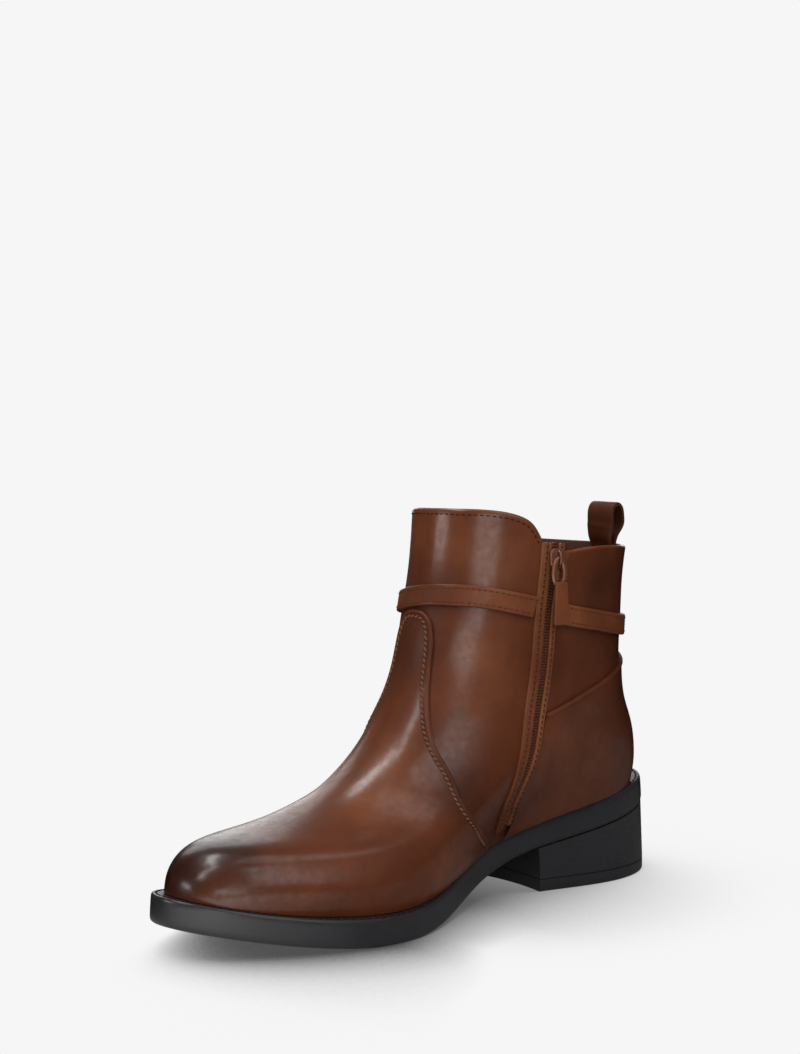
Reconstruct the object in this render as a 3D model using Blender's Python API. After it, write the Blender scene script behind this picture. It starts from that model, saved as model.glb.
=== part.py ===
"""Right ankle boot with a stacked heel, a wrap strap and a zip on the inner side.

Sizes are millimetres until a mesh is made, which is in metres. While the boot is worked out,
x runs from the back of the sole to the toe, y to the inner side of the foot and z up.
The finished boot stands on z = 0 with the middle of its box on the z axis.
"""
import math

import bmesh
import bpy
import numpy as np
from mathutils.geometry import delaunay_2d_cdt

MM = 0.001
GAP = 0.3                       # room left between neighbouring pieces


def table(columns, rows):
    """Columns of a short table by their names."""
    return dict(zip(columns, np.array(rows, float).T))


# Sole and heel
SOLE_LENGTH = 264.0
SOLE_THICK = 11.5
HEEL_LENGTH = 77.5
HEEL_HEIGHT_BACK = 33.2         # floor to the underside of the sole at the very back
BREAST_HOLLOW = 3.5             # depth of the heel's concave front face
HEEL_FLARE = 1.0                # how far the heel's side spreads from seat to floor
TOPLIFT_THICK = 5.3
HEEL_LIFTS = 7                  # stacked layers that show as ribs
LIFT_GROOVE = 0.35
LIFT_EDGE = 0.03                # share of the heel's height taken by a groove's slope
TOE_TURN = 3.0                  # the toe leans this far to the inner side
TURN_FROM = 110.0

# Upper and what lies on it
UPPER_WALL = 2.2
PANEL_THICK = 1.3               # vamp and counter
STRAP_THICK = 2.0
STRAP_WIDTH = 9.2
INSOLE_THICK = 2.5
INSOLE_CLEAR = 0.7
FACING_THICK = 1.0
TAPE_THICK = 0.8
SLIT_HALF = 2.6                 # half of the zip's opening
CHAIN_HALF = 2.0
CHAIN_PROUD = 0.5
FACING_FRONT = 7.4              # from the zip's middle to the facing's edges
FACING_REAR = 4.2
FACING_FOOT = 1.8               # how far facing and tape run on below the zip's end
TAPE_FOOT = 2.6
TAPE_HALF = 9.0
PANEL_CLEAR = 0.6               # between the facing and the panels beside it

# Pull loop at the back of the collar
LOOP_WIDTH = 15.5
LOOP_SIDE = 3.0                 # its middle lies this far to the inner side
LOOP_THICK = 1.6
LOOP_TOP = 168.4
LOOP_FOOT = 137.0
LOOP_FOOT_RING = 8.0
LOOP_CROWN = 5.0                # height of its rounded top
LOOP_SPREAD = 8.6               # over both legs where the loop is widest
LOOP_FLAT = 8.0                 # the strip is straight across from this far above the collar
LOOP_LEAN = 5.4                 # how far the rear leg leans back over the collar

# Zip slider and its pull
SLIDER_AT = (73.6, 8.48)        # angle and ring of its middle
SLIDER_SIZE = (7.6, 8.4, 1.4)   # across, along, thick
BRIDGE_WIDTH = 2.4
BRIDGE_REACH = 3.4              # half of the bridge along the zip
BRIDGE_CLEAR = 2.0              # room under the bridge
BRIDGE_BAR = 1.0
PULL_BAR = 1.2
PULL_EYE = (4.0, 9.0)
PULL_WIDTH = 6.6
PULL_LENGTH = 28.0
TAB_WIDTH = 7.2
TAB_LENGTH = 18.5
TAB_THICK = 1.5
SLIDER_LOW = FACING_THICK + 2 * GAP
SLIDER_FACE = SLIDER_LOW + SLIDER_SIZE[2]
HINGE_OUT = SLIDER_FACE + BRIDGE_CLEAR / 2

# Buckle on the outer side, in degrees round the shaft and millimetres up it
BUCKLE_AT = -81.0
BUCKLE_ALONG = 9.5
BUCKLE_HIGH = 8.8
BUCKLE_BAR = 2.4
BUCKLE_THICK = 1.8
PRONG_HALF = 1.0
PRONG_THICK = 1.2
KEEPER_AT = -97.0
KEEPER_HALF = 3.0
KEEPER_OVER = 1.6               # how far the keeper reaches past the strap's edges
STRAP_TIP_AT = -112.0
STRAP_END_RINGS = (7.65, 6.90)  # where the front and the rear strap meet the zip's facing
STRAP_CLIMB = (-71.0, -84.0)    # the front strap rises over the rear strap between these

# Mesh fineness
ANGLE_STEP = 7.5
RING_STEP = 0.52
LINE_STEP = 8.0
VAMP_STEP = 5.5
CLEAR_OF_LINES = 4.2
SOLE_POINTS = 60
HEEL_POINTS = 25
BREAST_POINTS = 5

# Top of the sole seen from the side
SOLE_TOP = table(("x", "top"), [
    (0, 44.0), (40, 38.3), (77, 31.0), (107, 23.0), (140, 14.5),
    (170, 11.3), (200, 12.0), (230, 16.0), (264, 23.4)])

# Sole outline: share of the length, and how full the inner and outer sides are there
SOLE_OUTLINE = table(("share", "inner", "outer"), [
    (0.00, 51.5, 51.5), (0.10, 44.8, 44.8), (0.38, 21.6, 32.0),
    (0.68, 53.6, 47.5), (0.88, 50.0, 48.0), (1.00, 49.0, 49.0)])

# Side of the sole: share of its height, and how far it stands out from the outline
SOLE_EDGE = table(("height", "out"), [
    (0.0, -0.9), (0.06, -0.2), (0.3, 0.0), (0.75, 0.1), (0.93, -0.1), (1.0, -0.8)])

# The last: one ring a row from the feather line up to the collar. A ring runs from a back point
# to a front point, follows the sole by its sag, and is as full at each station as its columns say.
STATIONS = (0.0, 0.12, 0.38, 0.68, 0.88, 1.0)
INNER = ("heel_end", "heel_in", "waist_in", "ball_in", "toe_in", "toe_end")
OUTER = ("heel_end", "heel_out", "waist_out", "ball_out", "toe_out", "toe_end")
RINGS = table((
    "back_x", "back_z", "front_x", "front_z", "sag", "heel_end", "heel_in", "heel_out",
    "waist_in", "waist_out", "ball_in", "ball_out", "toe_in", "toe_out", "toe_end"), [
    (10.0, 44, 255.2, 20.5, 1.00, 54.0, 42.0, 42.0, 22.0, 30.0, 46.0, 42.0, 45.0, 43.0, 50.0),
    (9.0, 53, 253.0, 29.5, 0.85, 56.0, 46.0, 46.0, 28.0, 34.0, 48.5, 44.0, 46.5, 44.0, 48.5),
    (9.6, 62, 241.5, 37.7, 0.68, 56.0, 47.5, 47.5, 33.0, 36.0, 45.5, 41.2, 43.5, 40.0, 44.0),
    (11.8, 72, 214.0, 41.0, 0.50, 52.0, 47.0, 47.0, 34.5, 36.5, 41.0, 37.8, 38.5, 34.6, 39.5),
    (16.3, 83, 180.2, 49.8, 0.33, 47.0, 45.0, 45.0, 36.0, 37.0, 37.0, 35.2, 35.5, 33.6, 37.0),
    (18.1, 95, 154.4, 67.2, 0.18, 42.0, 42.0, 42.0, 37.0, 37.5, 35.5, 34.6, 34.5, 33.8, 36.5),
    (16.9, 108, 137.8, 91.7, 0.07, 36.5, 38.3, 38.3, 37.0, 37.0, 36.5, 36.2, 36.0, 35.6, 36.5),
    (15.2, 122, 130.3, 118.0, 0.0, 33.0, 36.5, 36.5, 37.5, 37.5, 37.5, 37.5, 37.5, 37.5, 38.0),
    (14.2, 137, 125.0, 140.0, 0.0, 30.5, 36.0, 36.0, 39.0, 39.0, 39.0, 39.0, 39.0, 39.0, 39.0),
    (11.6, 152, 122.2, 162.0, 0.0, 29.5, 36.0, 36.0, 40.0, 40.0, 40.0, 40.0, 40.0, 40.0, 40.0),
    (9.2, 170, 120.4, 185.0, 0.0, 30.0, 36.8, 36.8, 41.0, 41.0, 41.0, 41.0, 41.0, 41.0, 41.0)])
RING_COUNT = len(RINGS["sag"])

# Lines drawn on the last. Columns: degrees round it (0 at the front, 180 at the back) and ring
TOPLINE = np.array([
    (0, 9.31), (20, 9.33), (40, 9.35), (48, 9.33), (56, 9.26), (62, 9.10), (66, 8.86),
    (69.5, 8.65), (74, 8.60), (85, 8.66), (96, 8.74), (123, 8.78), (180, 8.80)])
OUTER_DIP = (-40.0, 24.0, 0.075)  # the collar is lower here on the outer side: angle, reach and rings
VAMP_EDGE = np.array([
    (0, 7.33), (6, 7.31), (11.5, 7.20), (15.5, 6.98), (17.7, 6.68), (19.5, 6.27), (26, 5.70), (36, 5.21),
    (50, 4.67), (67, 3.76), (83, 2.59), (92.5, 1.55), (97.6, 0.85), (101, 0.0)])
ZIP_LINE = np.array([
    (72.5, 8.80), (73.3, 8.20), (74.5, 7.40), (76.2, 6.70), (82.0, 5.30),
    (92.5, 3.75), (99.5, 2.35), (103.3, 1.0)])
COUNTER_TOP = np.array([
    (80, 5.16), (103.6, 5.27), (121, 5.37), (143, 5.46), (165, 5.53), (180, 5.55)])
COUNTER_OUTER_END = np.array([
    (180, 5.55), (165, 5.53), (150, 5.42), (138, 5.0), (129, 4.1), (124, 2.9), (121, 1.5), (119, 0.0)])
STRAP_LINE = np.array([
    (-180, 6.36), (-160, 6.42), (-132, 6.60), (-106, 6.85), (-80, 7.07), (-50, 7.28), (-25, 7.44),
    (-13, 7.52), (0, 7.60), (22, 7.66), (42, 7.62), (67, 7.40), (90, 7.12), (106, 6.94), (132, 6.62),
    (160, 6.42), (180, 6.36)])

# Colours, roughness and metal of the pieces
FINISHES = {
    "brown_leather": ((0.105, 0.033, 0.014), 0.32, 0.0),
    "strap_leather": ((0.125, 0.043, 0.017), 0.36, 0.0),
    "lining_leather": ((0.20, 0.11, 0.06), 0.7, 0.0),
    "black_rubber": ((0.012, 0.012, 0.014), 0.45, 0.0),
    "brown_zip": ((0.09, 0.035, 0.02), 0.6, 0.0),
    "brown_metal": ((0.20, 0.12, 0.085), 0.3, 1.0),
}


def spline(knots, values, at):
    """Natural cubic spline through the rows of values."""
    knots = np.asarray(knots, float)
    values = np.asarray(values, float).reshape(len(knots), -1)
    step = np.diff(knots)
    system = np.eye(len(knots))
    right = np.zeros_like(values)
    for i in range(1, len(knots) - 1):
        system[i, i - 1:i + 2] = (step[i - 1], 2 * (step[i - 1] + step[i]), step[i])
        right[i] = 6 * ((values[i + 1] - values[i]) / step[i] - (values[i] - values[i - 1]) / step[i - 1])
    bend = np.linalg.solve(system, right)
    at = np.asarray(at, float)
    i = np.clip(np.searchsorted(knots, at) - 1, 0, len(knots) - 2)
    width = step[i][..., None]
    ahead = (at - knots[i])[..., None] / width
    behind = 1 - ahead
    curve = (behind ** 3 - behind) * bend[i] + (ahead ** 3 - ahead) * bend[i + 1]
    return behind * values[i] + ahead * values[i + 1] + curve * width ** 2 / 6


def toe_turn(x):
    return TOE_TURN * np.clip((x - TURN_FROM) / (SOLE_LENGTH - TURN_FROM), 0, None) ** 2


def sole_top(x):
    return spline(SOLE_TOP["x"], SOLE_TOP["top"], x)[..., 0]


def sole_underside(x):
    """Flat seat over the heel, then the arch, a flat spot under the ball and the toe spring."""
    breast = sole_top(np.float64(HEEL_LENGTH)) - SOLE_THICK
    seat = HEEL_HEIGHT_BACK + (breast - HEEL_HEIGHT_BACK) * x / HEEL_LENGTH
    return np.where(x < HEEL_LENGTH, seat, np.maximum(sole_top(x) - SOLE_THICK, 0.0))


def sole_outline(angle, out=0.0):
    """Points of the sole's outline, angle 0 at the toe and positive on the inner side."""
    share = (1 + np.cos(angle)) / 2
    inner = spline(SOLE_OUTLINE["share"], SOLE_OUTLINE["inner"], share)[..., 0]
    outer = spline(SOLE_OUTLINE["share"], SOLE_OUTLINE["outer"], share)[..., 0]
    x = SOLE_LENGTH * share
    y = np.sin(angle) * np.where(angle >= 0, inner, outer)
    line = np.stack([x, y + toe_turn(x)], -1)
    ahead = np.roll(line, -1, 0) - np.roll(line, 1, 0)
    side = np.stack([ahead[:, 1], -ahead[:, 0]], -1)
    return line + out * side / np.linalg.norm(side, axis=1, keepdims=True)


def last_surface(angle, ring):
    """Point of the last at an angle in radians and a ring number."""
    angle, ring = np.broadcast_arrays(np.asarray(angle, float), np.asarray(ring, float))
    row = spline(np.arange(RING_COUNT), np.column_stack(list(RINGS.values())), ring)
    row = dict(zip(RINGS, np.moveaxis(row, -1, 0)))
    feather = {name: column[0] for name, column in RINGS.items()}
    share = (1 + np.cos(angle)) / 2
    x = row["back_x"] + (row["front_x"] - row["back_x"]) * share
    feather_x = feather["back_x"] + (feather["front_x"] - feather["back_x"]) * share
    dip = sole_top(feather_x) - feather["back_z"] - (feather["front_z"] - feather["back_z"]) * share
    z = row["back_z"] + (row["front_z"] - row["back_z"]) * share + row["sag"] * dip
    weight = np.moveaxis(spline(STATIONS, np.eye(len(STATIONS)), share), -1, 0)
    inner = sum(part * row[name] for part, name in zip(weight, INNER))
    outer = sum(part * row[name] for part, name in zip(weight, OUTER))
    y = np.sin(angle) * np.where(angle >= 0, inner, outer) + toe_turn(x)
    return np.stack([x, y, z + GAP], -1)


def directions(angle, ring):
    """Steps of the surface for one radian and for one ring."""
    small = 1e-3
    round_step = (last_surface(angle + small, ring) - last_surface(angle - small, ring)) / (2 * small)
    ring_step = (last_surface(angle, ring + small) - last_surface(angle, ring - small)) / (2 * small)
    return round_step, ring_step


def outward(angle, ring):
    """Unit normal of the last, level at the feather line so that walls stand on the sole."""
    round_step, ring_step = directions(angle, ring)
    normal = np.cross(round_step, ring_step)
    normal /= np.linalg.norm(normal, axis=-1, keepdims=True)
    normal[..., 2] *= clear_of_sole(ring)
    return normal / np.linalg.norm(normal, axis=-1, keepdims=True)


def clear_of_sole(ring):
    """0 at the feather line, 1 from half a ring above it."""
    return np.clip(np.asarray(ring) / 0.5, 0, 1)


def skin(line, offset):
    """Points on the last's surface moved outward, for rows of degrees and ring."""
    angle = np.radians(line[:, 0])
    offset = np.broadcast_to(np.asarray(offset, float), angle.shape)
    base = last_surface(angle, line[:, 1])
    moved = base + offset[:, None] * outward(angle, line[:, 1])
    climb = sole_top(moved[:, 0]) - sole_top(base[:, 0])
    moved[:, 2] += climb * (1 - clear_of_sole(line[:, 1]))
    return moved


def even_line(rows, step=LINE_STEP):
    """Smooth line through rows of degrees and ring, with points a step apart on the surface."""
    rows = np.asarray(rows, float)
    lengths = np.linalg.norm(np.diff(skin(rows, 0.0), axis=0), axis=1)
    along = np.concatenate([[0.0], np.cumsum(lengths)])
    count = max(2, int(round(along[-1] / step)) + 1)
    return spline(along, rows, np.linspace(0, along[-1], count))


def beside(line, distance):
    """A line moved sideways on the surface, forward for a line that runs down the inner side."""
    points = skin(line, 0.0)
    ahead = np.gradient(points, axis=0)
    ahead /= np.linalg.norm(ahead, axis=1, keepdims=True)
    angle = np.radians(line[:, 0])
    side = np.cross(ahead, outward(angle, line[:, 1]))
    moved = []
    for move, round_step, ring_step in zip(side * distance, *directions(angle, line[:, 1])):
        moved.append(np.linalg.lstsq(np.stack([round_step, ring_step], 1), move, rcond=None)[0])
    moved = np.array(moved)
    return line + np.stack([np.degrees(moved[:, 0]), moved[:, 1]], 1)


def lengthened(line, extra):
    """A line with its last point moved on by an extra length, or back by a negative one."""
    tail = line[-1] - line[-2]
    reach = np.linalg.norm(np.diff(skin(line[-2:], 0.0), axis=0))
    return np.vstack([line[:-1], line[-1] + tail * extra / reach])


def topline_ring(angle):
    middle, reach, depth = OUTER_DIP
    dip = depth * np.exp(-((angle - middle) / reach) ** 2)
    return spline(TOPLINE[:, 0], TOPLINE[:, 1], np.abs(angle))[..., 0] - dip


def strap_band(angles, half):
    """Upper and lower edge of a band of constant width along the strap's line."""
    centre = spline(STRAP_LINE[:, 0], STRAP_LINE[:, 1], angles)[..., 0]
    per_ring = np.linalg.norm(directions(np.radians(angles), centre)[1], axis=-1)
    return (np.stack([angles, centre + half / per_ring], 1), np.stack([angles, centre - half / per_ring], 1))


def strap_loop(start, end, half, tip=0.0):
    """Closed outline of a stretch of the strap, with an optional pointed end."""
    count = max(2, int(abs(end - start) / 8.0) + 1)
    top, low = strap_band(np.linspace(start, end, count), half)
    point = [(top[-1] + low[-1]) / 2 + (tip, 0.0)] if tip else []
    return np.vstack([top, *point, low[::-1]])


def mirrored(line):
    return line * (-1.0, 1.0)


def inside(points, loop):
    """Which points lie inside a closed outline of degrees and ring."""
    hit = np.zeros(len(points), bool)
    for (a0, r0), (a1, r1) in zip(loop, np.roll(loop, -1, 0)):
        crosses = (r0 > points[:, 1]) != (r1 > points[:, 1])
        where = a0 + (points[:, 1] - r0) * (a1 - a0) / (r1 - r0 if r1 != r0 else 1.0)
        hit ^= crosses & (points[:, 0] < where)
    return hit


def zip_outlines():
    """Closed outlines along the zip: its slit, chain, facing and tape."""
    line = even_line(ZIP_LINE)
    short = lengthened(line, -2 * GAP)
    facing = lengthened(line, FACING_FOOT)
    tape = lengthened(line, TAPE_FOOT)

    def both_sides(centre, front, rear):
        return np.vstack([beside(centre, front), beside(centre, -rear)[::-1]])

    slit = both_sides(line, SLIT_HALF, SLIT_HALF)
    chain = both_sides(short, CHAIN_HALF, CHAIN_HALF)
    facing = both_sides(facing, FACING_FRONT, FACING_REAR)
    return {"slit": slit, "chain": chain, "facing": facing, "tape": both_sides(tape, TAPE_HALF, TAPE_HALF)}


def panel_outlines():
    """Closed outlines of the vamp and of the counter's inner and outer halves."""
    edge = even_line(VAMP_EDGE, VAMP_STEP)
    below = -0.6
    vamp = np.vstack([edge, (edge[-1][0], below), (-edge[-1][0], below), mirrored(edge)[:0:-1]])
    front = beside(lengthened(even_line(ZIP_LINE), FACING_FOOT), -FACING_REAR - PANEL_CLEAR)
    top = even_line(COUNTER_TOP)
    start = np.argmax(front[:, 1] < np.interp(front[:, 0], top[:, 0], top[:, 1]))
    top = top[top[:, 0] > front[start, 0] + 1.0]
    front = front[start:]
    foot = (front[-1][0] + 2.0, 0.0)
    inner = np.vstack([front[::-1], top, (180.0, below), (foot[0], below), foot])
    side = mirrored(even_line(COUNTER_OUTER_END))
    outer = np.vstack([side, (side[-1][0], below), (-180.0, below)])
    return {"vamp": vamp, "counter_inner": inner, "counter_outer": outer}


def zip_angle(ring):
    return np.interp(ring, ZIP_LINE[::-1, 1], ZIP_LINE[::-1, 0])


def strap_outlines():
    """Closed outlines of both straps, the buckle, its prong and the keeper."""
    half = STRAP_WIDTH / 2
    crossing = np.radians(ZIP_LINE[2, 0])
    turn = np.degrees(1.0 / np.linalg.norm(directions(crossing, ZIP_LINE[2, 1])[0]))
    front_end = zip_angle(STRAP_END_RINGS[0]) - (FACING_FRONT + PANEL_CLEAR) * turn
    rear_end = zip_angle(STRAP_END_RINGS[1]) + (FACING_REAR + PANEL_CLEAR) * turn
    wide = BUCKLE_ALONG * turn
    bar = BUCKLE_BAR * turn
    front, rear = BUCKLE_AT + wide, BUCKLE_AT - wide
    return {
        "strap_front": strap_loop(front_end, STRAP_TIP_AT, half, tip=-4.0),
        "strap_rear_inner": strap_loop(rear_end, 180.0, half),
        "strap_rear_outer": strap_loop(-180.0, STRAP_CLIMB[1] - 3.0, half),
        "buckle_out": strap_loop(front, rear, BUCKLE_HIGH),
        "buckle_in": strap_loop(front - bar, rear + bar, BUCKLE_HIGH - BUCKLE_BAR),
        "prong": strap_loop(front - 0.5, rear + 0.5, PRONG_HALF),
        "keeper": strap_loop(KEEPER_AT + KEEPER_HALF, KEEPER_AT - KEEPER_HALF, half + KEEPER_OVER)}


def pattern_points(loops):
    """Grid points of the pattern, left out where they would crowd a drawn line."""
    angles = np.arange(-180.0, 180.1, ANGLE_STEP)
    drawn = np.vstack(list(loops.values()))
    drawn = np.vstack([drawn, np.stack([angles, topline_ring(angles)], 1)])
    drawn_at = skin(drawn, 0.0)
    rings = np.arange(RING_STEP, RING_COUNT - 1.0, RING_STEP)
    grid = np.array([(angle, ring) for ring in rings for angle in angles[1:-1]])
    grid = grid[grid[:, 1] < topline_ring(grid[:, 0])]
    near = np.array([np.min(np.linalg.norm(drawn_at - at, axis=1)) for at in skin(grid, 0.0)])
    apart = 0.15
    back = [ring for ring in rings if ring < TOPLINE[-1, 1] - apart]
    for name in ("strap_rear_inner", "counter_inner"):
        at_back = loops[name][np.abs(loops[name][:, 0] - 180.0) < 1e-6, 1]
        back = [ring for ring in back if np.min(np.abs(at_back - ring)) > apart]
    return grid[near > CLEAR_OF_LINES], back


def cut_pattern(loops):
    """Triangulate the unrolled last so that every drawn line is an edge of it."""
    grid, back = pattern_points(loops)
    angles = np.arange(-180.0, 180.1, ANGLE_STEP)
    fine = np.arange(-180.0, 180.1, ANGLE_STEP / 2)
    lines = [np.stack([angles, np.zeros_like(angles)], 1), np.stack([fine, topline_ring(fine)], 1)]
    points = [tuple(point) for point in grid]
    points += [(side, ring) for ring in back for side in (-180.0, 180.0)]
    edges = []
    for line in lines + [np.vstack([loop, loop[:1]]) for loop in loops.values()]:
        for start, end in zip(line, line[1:]):
            if min(start[1], end[1]) > -1e-9:
                edges.append((len(points), len(points) + 1))
                points += [tuple(start), tuple(end)]
    stretch = (1.0, 20.0)
    flat = [(angle * stretch[0], ring * stretch[1]) for angle, ring in points]
    verts, _, faces, *_ = delaunay_2d_cdt(flat, edges, [], 0, 1e-4)
    verts = np.array([tuple(vert) for vert in verts]) / stretch
    faces = np.array([face for face in faces if len(face) == 3])
    at = verts[faces]
    turn = np.cross(at[:, 1] - at[:, 0], at[:, 2] - at[:, 0])
    faces[turn < 0] = faces[turn < 0][:, ::-1]
    middle = at.mean(1)
    keep = (np.abs(turn) > 1e-7) & (middle[:, 1] < topline_ring(middle[:, 0])) & (middle[:, 1] > 0)
    return verts, faces[keep], middle[keep]


def welded(verts, faces):
    """Join the two sides of the unrolled pattern at the back of the boot."""
    left = {round(vert[1], 4): i for i, vert in enumerate(verts) if vert[0] < -180.0 + 1e-4}
    target = np.arange(len(verts))
    for i, vert in enumerate(verts):
        if vert[0] > 180.0 - 1e-4:
            target[i] = left[round(vert[1], 4)]
    return target[faces]


def shell(verts, faces, low, high):
    """Closed solid over some triangles of the pattern, between two offsets from the last."""
    used, index = np.unique(faces, return_inverse=True)
    index = index.reshape(faces.shape)
    line = verts[used]
    low = np.broadcast_to(np.asarray(low, float), len(line))
    high = np.broadcast_to(np.asarray(high, float), len(line))
    points = np.vstack([skin(line, high), skin(line, low)])
    count = len(line)
    solid = [tuple(face) for face in index]
    solid += [tuple(face[::-1] + count) for face in index]
    sides = {(a, b) for face in index for a, b in zip(face, np.roll(face, -1))}
    for a, b in sides:
        if (b, a) not in sides:
            solid.append((b, a, a + count, b + count))
    return points, solid


def strap_climb(verts):
    """How far the front strap has risen over the rear strap."""
    start, end = STRAP_CLIMB
    share = np.clip((verts[:, 0] - start) / (end - start), 0, 1)
    return (STRAP_THICK + GAP) * share * share * (3 - 2 * share)


def stacked(rings):
    """Closed solid through rings of points, with flat strips across its two ends."""
    count = len(rings[0])
    points = np.vstack(rings)
    solid = []
    for level in range(len(rings) - 1):
        for i in range(count):
            j = (i + 1) % count
            low = level * count
            solid.append((low + i, low + j, low + count + j, low + count + i))
    top = (len(rings) - 1) * count
    for i in range(count // 2):
        j = (-i) % count
        strip = [i, i + 1, (-i - 1) % count, j]
        strip = [k for n, k in enumerate(strip) if k not in strip[:n]]
        solid.append(tuple(reversed(strip)))
        solid.append(tuple(top + k for k in strip))
    return points, solid


def sole_angles():
    return np.linspace(0, 2 * math.pi, SOLE_POINTS, endpoint=False)


def signed(angle):
    return np.where(angle > math.pi, angle - 2 * math.pi, angle)


def outsole():
    rings = []
    for height, out in zip(SOLE_EDGE["height"], SOLE_EDGE["out"]):
        line = sole_outline(signed(sole_angles()), out)
        low, high = sole_underside(line[:, 0]), sole_top(line[:, 0])
        rings.append(np.column_stack([line, low + (high - low) * height]))
    return stacked(rings)


def insole():
    angle = np.radians(np.arange(0, 360, ANGLE_STEP))
    line = np.column_stack([np.degrees(signed(angle)), np.zeros_like(angle)])
    low = skin(line, -UPPER_WALL - INSOLE_CLEAR)
    return stacked([low, low + (0, 0, INSOLE_THICK)])


def heel_ring(height, out):
    """One closed line round the heel, its height given as a function of x."""
    angle = np.linspace(0, 2 * math.pi, 720, endpoint=False)
    line = sole_outline(signed(angle), out)
    line = line[line[:, 0] < HEEL_LENGTH]
    pick = np.linspace(0, len(line) - 1, HEEL_POINTS).round().astype(int)
    back = line[pick]
    across = np.linspace(0, 1, BREAST_POINTS + 2)[1:-1, None]
    breast = back[-1] + (back[0] - back[-1]) * across
    breast[:, 0] -= BREAST_HOLLOW * 4 * (across * (1 - across))[:, 0]
    line = np.vstack([back, breast])
    return np.column_stack([line, height(line[:, 0])])


def lofted(rings):
    """Closed solid through rings with a flat face at each end."""
    count = len(rings[0])
    solid = [tuple(range(count))[::-1], tuple(range((len(rings) - 1) * count, len(rings) * count))]
    for level in range(len(rings) - 1):
        low = level * count
        solid += [(low + i, low + (i + 1) % count, low + count + (i + 1) % count, low + count + i)
                  for i in range(count)]
    return np.vstack(rings), solid


def heel_block():
    """Stacked lifts with a shallow groove between each two."""
    floor = TOPLIFT_THICK + GAP
    rings = []

    def add(share, groove):
        out = HEEL_FLARE * (1 - share) - groove
        rings.append(heel_ring(lambda x: floor + (sole_underside(x) - GAP - floor) * share, out))

    for lift in range(HEEL_LIFTS):
        low, high = lift / HEEL_LIFTS, (lift + 1) / HEEL_LIFTS
        add(low, LIFT_GROOVE)
        add(low + LIFT_EDGE, 0.0)
        add(high - LIFT_EDGE, 0.0)
    add(1.0, LIFT_GROOVE)
    return lofted(rings)


def heel_toplift():
    edge = 0.7
    levels = [(0.0, edge), (edge, 0.0), (TOPLIFT_THICK - edge, 0.0), (TOPLIFT_THICK, edge / 2)]
    return lofted([heel_ring(lambda x: np.full_like(x, z), HEEL_FLARE - inset) for z, inset in levels])


def pull_loop():
    """Strip folded over at the back of the collar, both legs inside it."""
    half = LOOP_WIDTH / 2
    collar_ring = TOPLINE[-1, 1]
    wall = skin(np.array([(180.0, LOOP_FOOT_RING), (180.0, collar_ring), (165.0, collar_ring)]), -UPPER_WALL)
    curve = (wall[2, 0] - wall[1, 0]) / wall[2, 1] ** 2
    clear = curve * (half + LOOP_SIDE) ** 2 + GAP + LOOP_THICK / 2
    foot, seat = wall[0, 0] + clear, wall[1, 0] + clear
    collar = wall[1, 2]
    doubled = LOOP_THICK + GAP
    shoulder = LOOP_TOP - LOOP_THICK / 2 - LOOP_CROWN
    back = seat - LOOP_LEAN
    spread = LOOP_SPREAD - LOOP_THICK
    rear = [(foot, LOOP_FOOT), (seat, collar), (seat - 0.3 * LOOP_LEAN, collar + 4.0), (back, shoulder - 4.0)]
    crown = [(back + spread / 2 * (1 + math.cos(a)), shoulder + LOOP_CROWN * math.sin(a))
             for a in np.linspace(math.pi, 0, 7)]
    front = [(back + spread, shoulder - 4.0), (seat + 1.6 * doubled, collar + 1.0),
             (seat + doubled, collar - 3.0), (foot + doubled, LOOP_FOOT)]
    path = np.array(rear + crown + front)
    ahead = np.gradient(path, axis=0)
    side = np.stack([-ahead[:, 1], ahead[:, 0]], 1)
    side *= LOOP_THICK / 2 / np.linalg.norm(side, axis=1, keepdims=True)
    profile = np.vstack([path + side, (path - side)[::-1]])
    sections = []
    for across in np.linspace(-half, half, 5):
        y = LOOP_SIDE + across
        bent = np.clip(1 - (profile[:, 1] - collar) / LOOP_FLAT, 0, 1)
        shift = bent * curve * (y * y - (half + LOOP_SIDE) ** 2)
        sections.append(np.column_stack([profile[:, 0] + shift, np.full(len(profile), y), profile[:, 1]]))
    return strip_solid(sections)


def strip_solid(sections):
    """Solid through equal sections of a folded strip: its two faces, its edges and its ends."""
    count = len(sections[0])
    points = np.vstack(sections)
    solid = []
    for level in range(len(sections) - 1):
        low = level * count
        solid += [(low + i, low + count + i, low + count + (i + 1) % count, low + (i + 1) % count)
                  for i in range(count)]
    last = (len(sections) - 1) * count
    for i in range(count // 2 - 1):
        edge = (i, i + 1, count - 2 - i, count - 1 - i)
        solid.append(edge)
        solid.append(tuple(last + k for k in reversed(edge)))
    return points, solid


def slider_frame():
    """Middle of the slider on the last, its level direction, the way up and the way out."""
    line = np.array([SLIDER_AT])
    middle = skin(line, 0.0)[0]
    out = outward(np.radians(line[:, 0]), line[:, 1])[0] * (1, 1, 0)
    out /= np.linalg.norm(out)
    across = np.array([out[1], -out[0], 0.0])
    return middle, across, np.array([0.0, 0.0, 1.0]), out


def block(low, high):
    """Box in the slider's own directions: across, up and out."""
    middle, across, up, out = slider_frame()
    corners = []
    for w in (low[2], high[2]):
        for u, v in ((low[0], low[1]), (high[0], low[1]), (high[0], high[1]), (low[0], high[1])):
            corners.append(middle + across * u + up * v + out * w)
    return lofted([np.array(corners[:4]), np.array(corners[4:])])


def plate(outline, low, high):
    """Flat piece in the slider's directions, an outline of across and up between two depths."""
    middle, across, up, out = slider_frame()
    rings = [np.array([middle + across * u + up * v + out * w for u, v in outline]) for w in (low, high)]
    return lofted(rings)


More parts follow.
